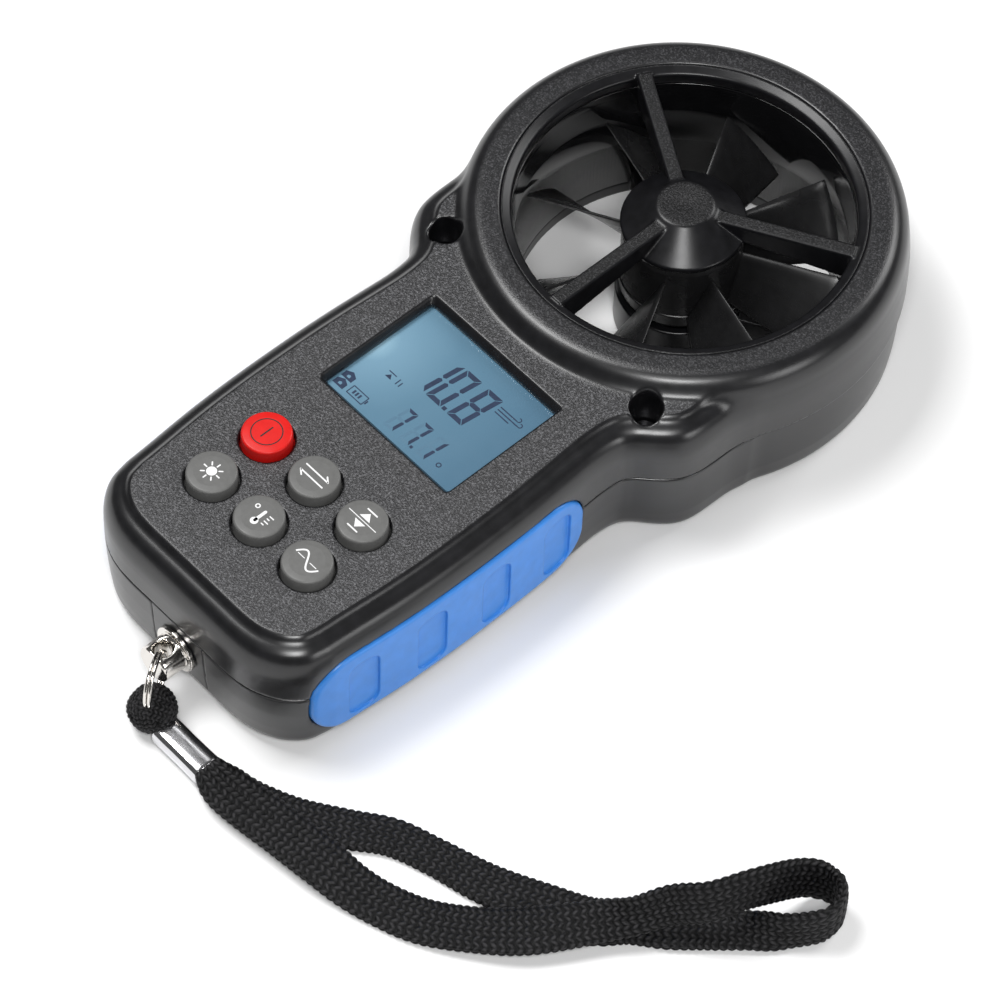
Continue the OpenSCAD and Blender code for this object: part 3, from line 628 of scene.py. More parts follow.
def make_knot():
    """Ball knot of the same braid"""
    rows, cols = 150, 240
    lat = np.linspace(-math.pi / 2, math.pi / 2, rows + 2)[1:-1, None]
    lon = (np.arange(cols) * 2 * math.pi / cols)[None, :]
    x, y, z = np.cos(lat) * np.cos(lon), np.cos(lat) * np.sin(lon), np.sin(lat) + 0 * lon
    # three overlapping wraps, each with its own lay
    relief, tone = np.zeros(x.shape), np.zeros(x.shape)
    for k, axis in enumerate(((0.8, 0.5, 0.35), (-0.45, 0.8, 0.4), (0.2, -0.55, 0.8))):
        n = np.array(axis) / np.linalg.norm(axis)
        e = np.cross(n, (0, 0, 1.0))
        e /= np.linalg.norm(e)
        f = np.cross(n, e)
        h = x * n[0] + y * n[1] + z * n[2]
        turn = np.arctan2(x * f[0] + y * f[1] + z * f[2], x * e[0] + y * e[1] + z * e[2])
        band = 1 - np.abs(h) / 0.55
        plait = chevrons(turn * 4.2, h * 4.4 + 20, 0.9, 0.72)
        wrap = np.where(band > 0, 0.22 * np.clip(band * 3, 0, 1) ** 0.6 + 0.36 * plait, 0.0)
        wrap = wrap + 0.06 * k * (band > 0)
        # tone follows the plait of the wrap on top, for the braid's painted highlights and painted shade
        tone = np.where(wrap > relief, plait * (band > 0), tone)
        relief = np.maximum(relief, wrap)
    lumps = 0.12 * np.sin(3 * x + 1) * np.cos(4 * y + 2 * z)
    size = 4.02 + relief + lumps
    pts = np.stack([x * size, y * size, z * size], axis=-1).reshape(-1, 3) + (4.0, TAIL_Y - 9.6, 4.75)
    pts[:, 2] = np.maximum(pts[:, 2], 0.12)
    faces = grid_faces(rows, cols, wrap_cols=True).tolist() + end_faces(rows, cols)
    obj = new_object("strap_knot_braid", pts, faces, CORD, tone=tone)
    stand_in(obj, "strap", "strap_knot", "cord_black")
    return obj


knot = make_knot()


def make_ring():
    """Split ring: two turns of one wire side by side, its ends lying flush"""
    turn = math.radians(-57.6)
    radius, wire, steps, sides = 5.3, 0.34, 300, 16
    u = np.array((math.cos(turn), math.sin(turn), 0))
    w = np.array((-math.sin(turn), math.cos(turn), 0))
    centre = np.array((0, HOLE_Y, POST_Z)) + u * (radius - 0.35)
    s = np.linspace(0, 4 * math.pi, steps) + 2.4
    k = (s - s[0]) / (4 * math.pi)
    # the wire steps across to its second turn over a short stretch
    offset = (ease(np.clip((k - 0.47) / 0.06, 0, 1)) * 2 - 1) * 0.38
    path = (centre + np.outer(np.cos(s), u) * radius + np.outer(np.sin(s), (0, 0, 1)) * radius
            + np.outer(offset, w))
    tangent = np.gradient(path, axis=0)
    tangent /= np.linalg.norm(tangent, axis=1)[:, None]
    outward = np.cross(tangent, w)
    outward /= np.linalg.norm(outward, axis=1)[:, None]
    sideways = np.cross(outward, tangent)
    a = np.arange(sides) * 2 * math.pi / sides
    r = wire * np.clip(np.minimum(k, 1 - k) * 60 + 0.55, 0, 1)
    pts = (path[:, None] + (outward[:, None] * np.cos(a)[None, :, None]
                            + sideways[:, None] * np.sin(a)[None, :, None]) * r[:, None, None])
    faces = grid_faces(steps, sides, wrap_cols=True).tolist() + end_faces(steps, sides)
    obj = new_object("split_ring_wire", pts.reshape(-1, 3), faces, NICKEL)
    stand_in(obj, "strap", "split_ring", "nickel")
    return obj


ring = make_ring()


# ---------------- case
def right_edge():
    """Right half of the case's outline, tail to head"""
    side = smooth_line([(28.9, -68.6), (29.3, -63), (29.9, -56), (30.3, -49.7), (30.55, -42), (30.6, -34.7),
                        (30.5, -26), (30.2, -18), (29.7, -10), (29.4, -4.4), (29.7, 0.2), (30.6, 2.3),
                        (31.9, 3.8), (33.8, 5.6), (35.8, 7.9), (37.2, 10.4), (37.9, 13.6), (38.1, 18),
                        (38.1, 25.4)], 5)
    corner = smooth_line([(8, -80.75), (12.5, -80.75), (16, -80.5), (19, -79.9), (21.7, -78.85), (24, -77.5),
                          (25.9, -75.8), (27.3, -74), (28.2, -72), (28.9, -68.6)], 4)
    return np.vstack([[(0, TAIL_Y)], corner[:-1], side, [(30, 44), (0, 60)]])


def case_outline():
    """Distance to the whole outline, with the round head blended in"""
    half = right_edge()
    poly = np.vstack([half, half[1:-1][::-1] * (-1, 1)])

    def fn(x, y):
        body = polygon_distance(np.abs(x), y, poly)
        return smin(body, np.hypot(x, y - HEAD_Y) - 42.5, 3.0)
    return Table(fn, (-47, -86), (47, 91), 0.3)


outline = case_outline()


def profile_table(points, low, high):
    """Distance to an edge's profile. The first coordinate is the distance to the outline, or a radius"""
    return Table(lambda u, v: polygon_distance(u, v, points), low, high, 0.1)


def arc(cx, cy, r, start, end, steps=8):
    """Points on an arc from start to end, in degrees"""
    angles = [math.radians(start + (end - start) * i / steps) for i in range(steps + 1)]
    return [(cx + r * math.cos(a), cy + r * math.sin(a)) for a in angles]


def rounded_rectangle(u, v, half_u, half_v, r):
    """Distance to a rectangle about 0, its corners rounded by r"""
    qu, qv = np.abs(u) - half_u + r, np.abs(v) - half_v + r
    return np.hypot(np.maximum(qu, 0), np.maximum(qv, 0)) + np.minimum(np.maximum(qu, qv), 0) - r


SHOULDER = [(0, 22.5), (-0.1, 24.4), (-0.4, 26.0), (-0.95, 27.5), (-1.8, 28.7), (-2.8, 29.4), (-3.6, 29.75),
            (-4.2, 30.1), (-4.7, 30.6), (-5.2, 30.93), (-5.8, 31.0)]
RING_LIP = [(42.5, 27.5), (42.35, 29.6), (41.9, 31.3), (41.2, 32.5), (40.3, 33.4), (39.3, 33.95),
            (38.5, 34.15), (37.9, 34.2)]
BACK_WALL = [(-60, 0), (-60, 45), (0, 45), (0, 17.5)]
front_edge = profile_table([(-60, 31), (-60, 0), (0, 0), *smooth_line(SHOULDER, 4)], (-14, 8), (6, 38))
ring_edge = profile_table([(0, 34.2), (0, 0), (42.5, 0), (42.5, 26), *smooth_line(RING_LIP, 4)],
                          (24, 8), (50, 40))
rear_tail = profile_table(BACK_WALL + [(-0.2, 12), (-0.5, 7)] + arc(-5.5, 4.8, 4.8, 0, -90),
                          (-14, -4), (6, 24))
rear_head = profile_table(BACK_WALL + [(-0.15, 12), (-0.35, 6)] + arc(-3.9, 3.3, 3.3, 0, -90),
                          (-14, -4), (6, 24))
DISPLAY_Y = -17.25
KEYS = [("power", -13, -47.75), ("units", 0, -47.75), ("maxmin", 13, -47.75),
        ("light", -13, -60.85), ("temperature", 0, -60.85), ("average", 13, -60.85)]
EAR_SCREW = (27.25, 8.65)
TAIL_SCREW = (21.2, TAIL_Y + 10)


def grip_outline(y, z, grow):
    """Rounded pad seen from the side"""
    return rounded_rectangle(y + 40.9, z - 14.5, 32.15, 10, 8) - grow


def grip_slot(x, y, z, d):
    """Cut in the shells that holds a grip"""
    return np.maximum(grip_outline(y, z, 0.1), -1.3 - d)


def screw_distances(x, y):
    """Distances to the axes of the nearest screw beside the head and the nearest one at the tail"""
    return [np.hypot(np.abs(x) - sx, y - sy) for sx, sy in (EAR_SCREW, TAIL_SCREW)]


def front_field(x, y, z):
    d, rho = outline(x, y), np.hypot(x, y - HEAD_Y)
    outer = smin(front_edge(d, z), ring_edge(rho, z), 1.8)
    hollow = np.maximum(np.maximum(outer + 2.4, 36.8 - rho), z - 28.6)
    f = np.maximum(outer, -hollow)
    ear, tail = screw_distances(x, y)
    boss = np.minimum(ear - 4.6, tail - 3.9)
    f = np.minimum(f, np.maximum(boss, outer + 0.8))
    f = smax(f, 34.55 - rho, 0.3)
    # the wells beside the head, and the blind holes of the tail screws
    f = smax(f, -np.maximum(ear - 3.1, 20.5 - z), 0.5)
    f = np.maximum(f, 1.5 - np.minimum(ear, tail + np.where(z > 25.5, 9, 0)))
    keys = np.minimum.reduce([np.hypot(x - kx, y - ky) - 5.1 for _, kx, ky in KEYS])
    f = smax(f, -keys, 0.45)
    # the display's window with its sloping frame
    slope = np.clip((z - 29.5) / 1.5, 0, 1)
    window = rounded_rectangle(x, y - DISPLAY_Y, 16.7 + 0.75 * slope, 13.25 + 1.05 * slope, 0.6)
    f = smax(f, -window, 0.35)
    f = smax(f, -grip_slot(x, y, z, d), 0.25)
    return smax(f, SEAM_Z + SEAM_GAP - z, 0.35)


front_shell = field_mesh("front_shell_skin", front_field, (-43.4, -81.6, 17.1), (43.4, 87.6, 34.7),
                         SHELL_STEP, CASE)
stand_in(front_shell, "case", "front_shell", "case_black")


def rear_outer(y, z, d):
    """The back's outer surface: its lower edge is rounder at the tail than at the head"""
    w = ease(np.clip((y + 5) / 20, 0, 1))
    return rear_tail(d, z) * (1 - w) + rear_head(d, z) * w


def rear_field(x, y, z):
    d, rho = outline(x, y), np.hypot(x, y - HEAD_Y)
    outer = rear_outer(y, z, d)
    hollow = np.maximum(np.maximum(outer + 2.2, 36.8 - rho), 2.0 - z)
    f = np.maximum(outer, -hollow)
    ear, tail = screw_distances(x, y)
    ribs = box_field(np.abs(x), y, z, (17.5, -65.3, 1), (19, -20.7, 17.5))
    inner = np.minimum(np.minimum(ear - 4.6, tail - 3.9), ribs)
    f = np.minimum(f, np.maximum(inner, outer + 0.8))
    f = smax(f, 34.55 - rho, 0.3)
    f = smax(f, -np.maximum(tail - 3.1, z - 5), 0.4)
    f = np.maximum(f, 1.5 - np.minimum(ear + np.where(z < 6, 9, 0), tail))
    opening = box_field(np.abs(x), y, z, (-5, -74.5, -5), (17.15, -19.5, 5), 0.8)
    f = smax(f, -opening, 0.3)
    block = box_field(np.abs(x), y, z, (-5, -90, -5), (7, TAIL_Y + 5, 30))
    f = smax(f, -block, 0.12)
    f = smax(f, -grip_slot(x, y, z, d), 0.25)
    return smax(f, z - SEAM_Z + SEAM_GAP, 0.35)


rear_shell = field_mesh("rear_shell_skin", rear_field, (-43.4, -81.6, -0.5), (43.4, 87.6, 17.9),
                        SHELL_STEP, REAR)
stand_in(rear_shell, "case", "rear_shell", "case_black")


def block_field(x, y, z):
    """Anchor block at the tail, bored for the strap post"""
    block = box_field(x, y, z, (-6.9, -90, -5), (6.9, TAIL_Y + 5, SEAM_Z - 0.08), 0.1)
    f = np.maximum(rear_outer(y, z, outline(x, y)), block)
    return smax(f, 2.4 - np.hypot(x, z - POST_Z), 0.15)


anchor = field_mesh("anchor_block_skin", block_field, (-7.3, -81.3, -0.4), (7.3, -75.3, 17.8), 0.2, REAR)
stand_in(anchor, "case", "anchor_block", "case_black")


def cover_field(x, y, z):
    """Battery cover: a plate with a toe and five finger grooves"""
    f = box_field(x, y, z, (-17, -74.35, 0), (17, -19.65, 1.9), 0.25)
    f = np.minimum(f, box_field(x, y, z, (-5, -73.75, 1.6), (5, -72.55, 5), 0.2))
    for i in range(5):
        f = smax(f, -box_field(x, y, z, (-8, -69.35 + 2 * i, -2), (8, -68.35 + 2 * i, 0.5), 0.4), 0.3)
    return f


cover = field_mesh("battery_cover_skin", cover_field, (-17.5, -74.9, -0.45), (17.5, -19.2, 5.4), 0.3, REAR)
stand_in(cover, "cover", "battery_cover", "case_black")


def grip_field(x, y, z):
    """Crowned grip with four sunk pads"""
    d = outline(x, y)
    height = (z - 14.5) / 10
    crown = 0.62 - 0.22 * height ** 2
    f = smax(grip_outline(y, z, -0.05), d - crown, 0.9)
    nearest = np.clip(np.round((y + 62.15) / 15.45), 0, 3)
    pad = rounded_rectangle(y + 62.15 - 15.45 * nearest, z - 13.7, 3.4, 7.5, 2.4)
    floor = -0.12 - 0.1 * np.clip(height, -1, 1)
    f = smax(f, -np.maximum(pad, floor - d), 0.16)
    return np.maximum(f, -1.2 - d)


for label, near, far in (("right", 26.05, 31.65), ("left", -31.65, -26.05)):
    grip = field_mesh("grip_%s_skin" % label, grip_field, (near, -73.4, 4.1), (far, -8.4, 24.9), 0.2, BLUE)
    stand_in(grip, "case", "grip_" + label, "grip_blue")


# ---------------- vane head
def spoke_parts(x, y):
    """Distance across and along the nearest of the three spokes"""
    across, along = np.full(np.broadcast(x, y).shape, 99.0), 0.0
    for degrees in (30, 150, 270):
        a = math.radians(degrees)
        s = math.cos(a) * x + math.sin(a) * (y - HEAD_Y)
        w = np.where(s > 0, np.abs(-math.sin(a) * x + math.cos(a) * (y - HEAD_Y)), 99.0)
        along = np.where(w < across, s, along)
        across = np.minimum(across, w)
    return across, along


def guard_field(x, y, z):
    """Front guard: rim, three spokes that deepen inwards, and the hub's cone and cap"""
    rho = np.hypot(x, y - HEAD_Y)
    across, along = spoke_parts(x, y)
    under = 26.8 + np.clip((33 - along) / 23, 0, 1) * 3.0
    wide = 1.5 - (34 - z) * 0.012
    spoke = smax(smax(across - wide, z - 34.0, 0.55), under - z, 0.4)
    spoke = np.maximum(np.maximum(spoke, rho - 33.0), 4.2 - along)
    rim_top = 33.25 + 0.93 * np.clip((rho - 32.4) / 2.1, 0, 1)
    rim = smax(smax(np.maximum(rho - 34.5, 30.8 - z), z - rim_top, 0.25), 32.4 - rho, 0.5)
    cone = smax((z - 29.9 - (12 - rho) * 0.735) * 0.8, 28.9 - z, 0.2)
    cone = smax(cone, rho - 12, 0.25)
    cap = 34.75 + 0.12 * np.clip(rho / 4, 0, 1) ** 2 - 0.16 * np.exp(-(rho / 1.5) ** 2)
    cone = smax(cone, z - cap, 0.35)
    f = smin(smin(rim, spoke, 0.4), cone, 0.35)
    return np.maximum(f, -np.maximum(rho - 2.5, z - 31.4))


def rear_guard_field(x, y, z):
    """Rear guard: rim, three spokes, and a hub cup with the bearing's boss and the sensor's shelf"""
    rho = np.hypot(x, y - HEAD_Y)
    across, along = spoke_parts(x, y)
    spoke = smax(smax(across - 1.5, z - 6, 0.4), 0.6 - z, 0.5)
    spoke = np.maximum(np.maximum(spoke, rho - 33.0), 10 - along)
    rim = smax(smax(np.maximum(rho - 34.5, z - 3.2), -z, 0.4), 31.6 - rho, 0.5)
    cup = smax(smax(rho - 12.2, 0.6 - z, 1.2), z - 10.5, 0.3)
    cup = np.maximum(cup, -np.maximum(rho - 10.7, 2.6 - z))
    boss = np.maximum(np.maximum(rho - 3.9, z - 8), 2 - z)
    shelf = box_field(x, y, z, (-3, HEAD_Y - 7.6, 2.4), (3, HEAD_Y - 3, 5.2))
    f = smin(smin(rim, spoke, 0.4), np.minimum(np.minimum(cup, boss), shelf), 0.35)
    f = np.maximum(f, -np.maximum(rho - 2.5, 4.6 - z))
    cable_slot = box_field(x, y, z, (-1.1, HEAD_Y - 45, 3.9), (1.1, HEAD_Y - 8, 4.9))
    return np.maximum(f, -cable_slot)


for label, field, low, high, finish in (("front_guard", guard_field, 26.3, 35.4, GUARD),
                                        ("rear_guard", rear_guard_field, -0.4, 11.0, REAR)):
    guard = field_mesh(label + "_skin", field, (-35, HEAD_Y - 35, low), (35, HEAD_Y + 35, high), 0.32, finish)
    stand_in(guard, "case", label, "case_black")

liner = lathe("duct_liner_skin", rounded([
    (34.5, 3.2), (34.5, 30.8), (32.35, 30.8), (32.2, 29.0, 2), (31.6, 24.0, 6), (31.6, 3.2)], 0.2, 4),
    DUCT, at=(0, HEAD_Y, 0), sides=256)
stand_in(liner, "case", "duct_liner", "duct_black")


def blade_section(row, rows, cols):
    """Half thickness of a blade at points from hub to tip, thinned at its edges and at its tip"""
    edge = {0: 0.35, 1: 0.8}.get(min(row, rows - 1 - row), 1)
    section = []
    for k in range(cols):
        u = k / (cols - 1)
        half = 0.42 * (1 - 0.35 * u) * edge * (0.4 if u == 1 else 1)
        section.append((11.2 + (30.8 - 11.2) * u, half))
    return section


def make_blades():
    """Eight thin helical blades, rounded at their edges"""
    bottom, top, count, twist, rows, cols = 14.2, 24.8, 8, 22.0, 26, 22
    around = 2 * cols
    pts, faces = [], []
    for i in range(count):
        base = len(pts)
        for j in range(rows):
            t = j / (rows - 1)
            a = math.radians(30 + 45 * i - twist * (1 - t))
            section = blade_section(j, rows, cols)
            for r, h in section + [(r, -h) for r, h in reversed(section)]:
                pts.append((r * math.cos(a) - h * math.sin(a), HEAD_Y + r * math.sin(a) + h * math.cos(a),
                            bottom + (top - bottom) * t))
        faces += (grid_faces(rows, around, wrap_cols=True) + base).tolist()
        for first in (base, base + (rows - 1) * around):
            for k in range(cols - 1):
                quad = [first + k, first + k + 1, first + around - 2 - k, first + around - 1 - k]
                faces.append(quad[::-1] if first == base else quad)
    blades = new_object("impeller_blades", pts, faces, VANE)
    blades.modifiers.new("even_normals", "WEIGHTED_NORMAL").keep_sharp = True
    return blades


blades = make_blades()
hub = lathe("impeller_hub", rounded([
    (1.0, 12.0), (2.6, 12.0), (2.6, 26.7), (10.4, 26.7), (10.4, 12.0), (11.6, 12.0), (11.6, 14.5, 0.2),
    (11.8, 14.6, 0.1), (11.8, 15.2, 0.1), (11.6, 15.3, 0.1), (11.6, 27.2), (11.1, 28.2),
    (1.0, 28.2)], 0.25, 3), VANE, at=(0, HEAD_Y, 0), sides=160)
for piece in (blades, hub):
    stand_in(piece, "impeller", "impeller", "vane_black")


# ---------------- flat marks
# outlines run anticlockwise, in mm
def disc(cx, cy, r, sides=28):
    return [(cx + r * math.cos(2 * math.pi * i / sides), cy + r * math.sin(2 * math.pi * i / sides))
            for i in range(sides)]


def bar(a, b, width):
    """Round-ended stroke"""
    aim = math.degrees(math.atan2(b[1] - a[1], b[0] - a[0]))
    return arc(*b, width / 2, aim - 90, aim + 90, 6) + arc(*a, width / 2, aim + 90, aim + 270, 6)


def ribbon(points, width):
    """Stroke along a curve, as one outline"""
    p = np.array(points, float)
    along = np.gradient(p, axis=0)
    along /= np.linalg.norm(along, axis=1)[:, None]
    side = np.stack([-along[:, 1], along[:, 0]], axis=1) * width / 2
    return (p - side).tolist() + (p + side)[::-1].tolist()


def hoop(cx, cy, outer, inner, sides=48):
    """Outer and inner outlines of a flat ring"""
    return disc(cx, cy, outer, sides), disc(cx, cy, inner, sides)


def marks(name, shapes, z, height, material, body, slot):
    """Thin raised print. A shape is an outline, or an (outer, inner) pair of outlines"""
    pts, faces = [], []
    for s in shapes:
        base = len(pts)
        loops = s if isinstance(s, tuple) else (s,)
        n = len(loops[0])
        for loop in loops:
            for h in (z, z + height):
                pts += [(x, y, h) for x, y in loop]
        k = np.arange(n)
        k2 = (k + 1) % n
        faces += np.stack([base + k, base + k2, base + n + k2, base + n + k], axis=1).tolist()
        if len(loops) == 2:
            i = base + 2 * n
            faces += np.stack([i + k2, i + k, i + n + k, i + n + k2], axis=1).tolist()
            faces += np.stack([base + n + k, base + n + k2, i + n + k2, i + n + k], axis=1).tolist()
            faces += np.stack([base + k2, base + k, i + k, i + k2], axis=1).tolist()
        else:
            faces += [(base + k)[::-1].tolist(), (base + n + k).tolist()]
    obj = new_object(name, pts, faces, material, smooth=False)
    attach(obj, body)


def triangle(cx, cy, half_width, h):
    """Triangle that points up, or down where h is negative"""
    corners = [(cx - half_width, cy - h / 2), (cx + half_width, cy - h / 2), (cx, cy + h / 2)]
    return corners if h > 0 else corners[::-1]


def square(cx, cy, w, h):
    left, right, low, high = cx - w / 2, cx + w / 2, cy - h / 2, cy + h / 2
    return [(left, low), (right, low), (right, high), (left, high)]


# ---------------- keys
def key_marks(kind):
    """Each key's pictogram, about the key's centre"""
    if kind == "power":
        return [hoop(0, 0, 3.02, 2.8), bar((0, -1.4), (0, 1.4), 0.3)]
    if kind == "light":
        rays = [bar((1.35 * math.cos(a), 1.35 * math.sin(a)), (2.0 * math.cos(a), 2.0 * math.sin(a)), 0.28)
                for a in np.arange(8) * math.pi / 4]
        return [disc(0, 0, 1.0)] + rays
    if kind == "units":
        return [bar((-2.9, 0.75), (2.7, 0.75), 0.3), bar((2.85, 0.75), (1.8, 1.55), 0.3),
                bar((2.9, -0.75), (-2.7, -0.75), 0.3), bar((-2.85, -0.75), (-1.8, -1.55), 0.3)]
    if kind == "maxmin":
        return [bar((-3.5, 0), (3.5, 0), 0.17),
                triangle(0, 1.25, 1.3, 1.5), bar((-1.2, 2.45), (1.2, 2.45), 0.3),
                triangle(0, -1.25, 1.3, -1.5), bar((-1.2, -2.45), (1.2, -2.45), 0.3)]
    if kind == "temperature":
        ticks = [bar((1.5, y), (right, y), 0.24)
                 for y, right in ((1.3, 2.4), (0.6, 2.0), (-0.1, 2.4), (-0.8, 2.0))]
        stem = bar((0.2, -1.2), (0.2, 1.35), 0.62)
        return [disc(0.2, -1.35, 0.78), stem, hoop(-1.75, 1.25, 0.52, 0.28, 24)] + ticks
    wave = [(-3.0 + 0.2 * i, 1.5 * math.sin(2 * math.pi * i / 30)) for i in range(31)]
    return [ribbon(wave, 0.34), bar((-2.35, 0), (-0.75, 0), 0.17), bar((0.75, 0), (2.35, 0), 0.17)]


KEY_TOP = 33.2


def make_key(kind, cx, cy):
    """Key cap on its flange, with its pictogram"""
    low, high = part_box("button_" + kind)
    base, flange = low[2] / MM, (high[0] - low[0]) / 2 / MM
    cap_material, ink, slot = (RED, INK, "key_red") if kind == "power" else (GREY, PRINT, "key_grey")
    foot = [(0, base), (flange, base), (flange, base + 0.95), (4.85, base + 1.0), (4.8, base + 1.15)]
    crown = rounded([(4.8, base + 1.2), (4.78, KEY_TOP - 1.2), (4.72, KEY_TOP - 0.12), (3.3, KEY_TOP + 0.01),
                     (0, KEY_TOP)], 0.6, 8)
    cap = lathe("key_cap_" + kind, foot + crown[1:], cap_material, at=(cx, cy, 0), sides=112)
    stand_in(cap, "key_" + kind, "button_" + kind, slot)

    def moved(shape):
        if isinstance(shape, tuple):
            return tuple(moved(loop) for loop in shape)
        return [(cx + px, cy + py) for px, py in shape]

    marks("key_mark_" + kind, [moved(shape) for shape in key_marks(kind)], KEY_TOP - 0.05, 0.075, ink,
          "key_" + kind, slot)


for kind, cx, cy in KEYS:
    make_key(kind, cx, cy)


# ---------------- display
SEGMENTS = {"0": "abcdef", "1": "bc", "7": "abc", "8": "abcdefg"}


def digit(x, y, w, h, t, lit, slant=0.125, gap=0.13):
    """Outlines of the lit segments of a seven-segment digit of stroke t whose foot is at (x, y)"""
    middle, half = h / 2, t / 2
    shapes = {
        "a": [(gap, h), (t + gap, h - t), (w - t - gap, h - t), (w - gap, h)],
        "b": [(w, h - gap), (w - t, h - t - gap), (w - t, middle + half), (w - half, middle + gap),
              (w, middle + gap + half * 0.6)],
        "g": [(half + gap, middle), (t + gap, middle + half), (w - t - gap, middle + half),
              (w - half - gap, middle), (w - t - gap, middle - half), (t + gap, middle - half)],
    }
    # the rest are mirror images
    shapes["d"] = [(px, h - py) for px, py in shapes["a"]]
    shapes["c"] = [(px, h - py) for px, py in shapes["b"]]
    shapes["f"] = [(w - px, py) for px, py in shapes["b"]]
    shapes["e"] = [(w - px, h - py) for px, py in shapes["b"]]
    out = []
    for name in lit:
        loop = [(x + px + slant * py, y + py) for px, py in shapes[name]]
        turning = sum(a[0] * b[1] - b[0] * a[1] for a, b in zip(loop, loop[1:] + loop[:1]))
        out.append(loop if turning > 0 else loop[::-1])
    return out


def printed(name, dark, light, scale):
    """Printed segments, slightly uneven in tone"""
    m, t, b = shader(name, dark, 0.45)
    t.links.new(ramp(t, noise(t, scale, 2.0), [(0.3, dark), (0.7, light)]), b.inputs["Base Color"])
    return m


def make_display():
    """Lit and idle segments on the LCD panel"""
    big, small = (3.9, 9.5, 1.0), (2.5, 6.0, 0.66)
    row1, row2 = -18.33, -28.54
    lit, idle = [], []
    for x, y, size, text in ((-7.4, row1, big, "1"), (-2.85, row1, big, "0"), (2.85, row1, big, "8"),
                             (-3.15, row2, small, "7"), (1.1, row2, small, "7"), (5.3, row2, small, "1")):
        lit += digit(x, y, *size, SEGMENTS[text])
        if y == row2:
            idle += digit(x, y, *size, [k for k in "abcdefg" if k not in SEGMENTS[text]])
    lit += [square(1.85, row1 + 0.4, 0.85, 0.8), square(4.3, row2 + 0.3, 0.6, 0.6)]
    # battery outline with three bars
    bx, by, bw, bh = -10.85, -27.75, 3.95, 2.0
    lit += [square(bx, by + bh / 2, bw, 0.2), square(bx, by - bh / 2, bw, 0.2),
            square(bx - bw / 2, by, 0.2, bh), square(bx + bw / 2, by, 0.2, bh),
            square(bx + bw / 2 + 0.35, by, 0.3, 0.9)]
    lit += [square(bx - 0.95 + 0.75 * i, by, 0.42, 0.95) for i in range(3)]
    # two memory tabs, each with a lighter core
    for ty in (-26.9, -29.05):
        outer = [(-16.4, ty), (-13.75, ty), (-13.75, ty + 1.35), (-15.07, ty + 2.05), (-16.4, ty + 1.35)]
        inner = [(-15.45, ty + 0.45), (-14.7, ty + 0.45), (-14.7, ty + 0.95), (-15.07, ty + 1.15),
                 (-15.45, ty + 0.95)]
        lit.append((outer, inner))
    # peak-hold mark
    lit += [triangle(-10.2, -20.5, 0.75, 1.0), bar((-11.1, -19.65), (-9.3, -19.65), 0.22),
            bar((-8.2, -20.9), (-8.2, -19.6), 0.22), bar((-7.4, -20.9), (-7.4, -19.9), 0.22)]
    # wind mark: three lines, two of which curl up
    for i, right in enumerate((12.8, 13.8, 12.0)):
        y = -10.0 - 0.75 * i
        lit.append(bar((8.6, y), (right, y), 0.24))
        if i < 2:
            lit.append(ribbon([(right + 0.16 + 0.45 * math.sin(a), y + 0.45 - 0.45 * math.cos(a))
                               for a in np.linspace(0, 3.6, 12)], 0.2))
    # degree mark
    lit.append(hoop(10.6, -27.2, 0.55, 0.34, 24))
    top = 28.5
    dark = printed("display_segments", (0.006, 0.018, 0.05), (0.012, 0.028, 0.072), 800)
    pale = printed("display_idle_segments", (0.066, 0.15, 0.228), (0.078, 0.17, 0.25), 300)
    marks("display_segments", lit, top, 0.03, dark, "case", "lcd")
    marks("display_idle_segments", idle, top - 0.01, 0.022, pale, "case", "lcd")


make_display()


def lcd_material():
    """Blue panel with a painted glow: its colour is lighter towards one corner, standing in for the
    backlight's light and the window's reflection
    """
    m, t, b = shader("display_glass", (0.13, 0.28, 0.4), 0.35)
    distance_to_painted_glow = node(t, "ShaderNodeVectorMath", operation="DISTANCE")
    t.links.new(place(t), distance_to_painted_glow.inputs[0])
    distance_to_painted_glow.inputs[1].default_value = (-0.0185, -0.017, 0.0285)
    # painted glow: lightest at that corner, darker further from it
    light = ramp(t, spread(t, distance_to_painted_glow.outputs["Value"], 0, 1, 0, 0.036), [
        (0.0, (0.29, 0.47, 0.575)), (0.14, (0.15, 0.28, 0.38)), (0.45, (0.088, 0.188, 0.27)),
        (1.0, (0.066, 0.15, 0.228))])
    t.links.new(light, b.inputs["Base Color"])
    t.links.new(spread(t, noise(t, 200, 2.0), 0.3, 0.42), b.inputs["Roughness"])
    bump(t, b, noise(t, 2500, 2.0), 0.000004, 0.4)
    return m


def lens_material():
    """Clear window with a faint gloss"""
    m = bpy.data.materials.new("display_window")
    m.use_nodes = True
    t = m.node_tree
    t.nodes.remove(t.nodes["Principled BSDF"])
    gloss = node(t, "ShaderNodeBsdfGlossy")
    t.links.new(spread(t, noise(t, 120, 2.0), 0.07, 0.13), gloss.inputs["Roughness"])
    mix = node(t, "ShaderNodeMixShader")
    mix.inputs[0].default_value = 0.012
    t.links.new(node(t, "ShaderNodeBsdfTransparent").outputs[0], mix.inputs[1])
    t.links.new(gloss.outputs[0], mix.inputs[2])
    t.links.new(mix.outputs[0], t.nodes["Material Output"].inputs["Surface"])
    return m


def board_material():
    """Green mask over copper tracks, with pads"""
    m, t, b = shader("board_mask", (0.02, 0.16, 0.06), 0.35, coat=0.3)
    wave = node(t, "ShaderNodeTexWave", Scale=260.0, Distortion=6.0, Detail=1.0)
    t.links.new(place(t), wave.inputs["Vector"])
    tracks = ramp(t, wave.outputs["Fac"], [(0.55, (0.012, 0.1, 0.035)), (0.62, (0.03, 0.2, 0.075))])
    cells = node(t, "ShaderNodeTexVoronoi", Scale=420.0)
    t.links.new(place(t), cells.inputs["Vector"])
    pads = spread(t, cells.outputs["Distance"], 1, 0, 0.16, 0.2)
    t.links.new(blend_colours(t, pads, tracks, (0.62, 0.6, 0.52, 1)), b.inputs["Base Color"])
    bump(t, b, wave.outputs["Fac"], 0.00003, 0.4)
    return m


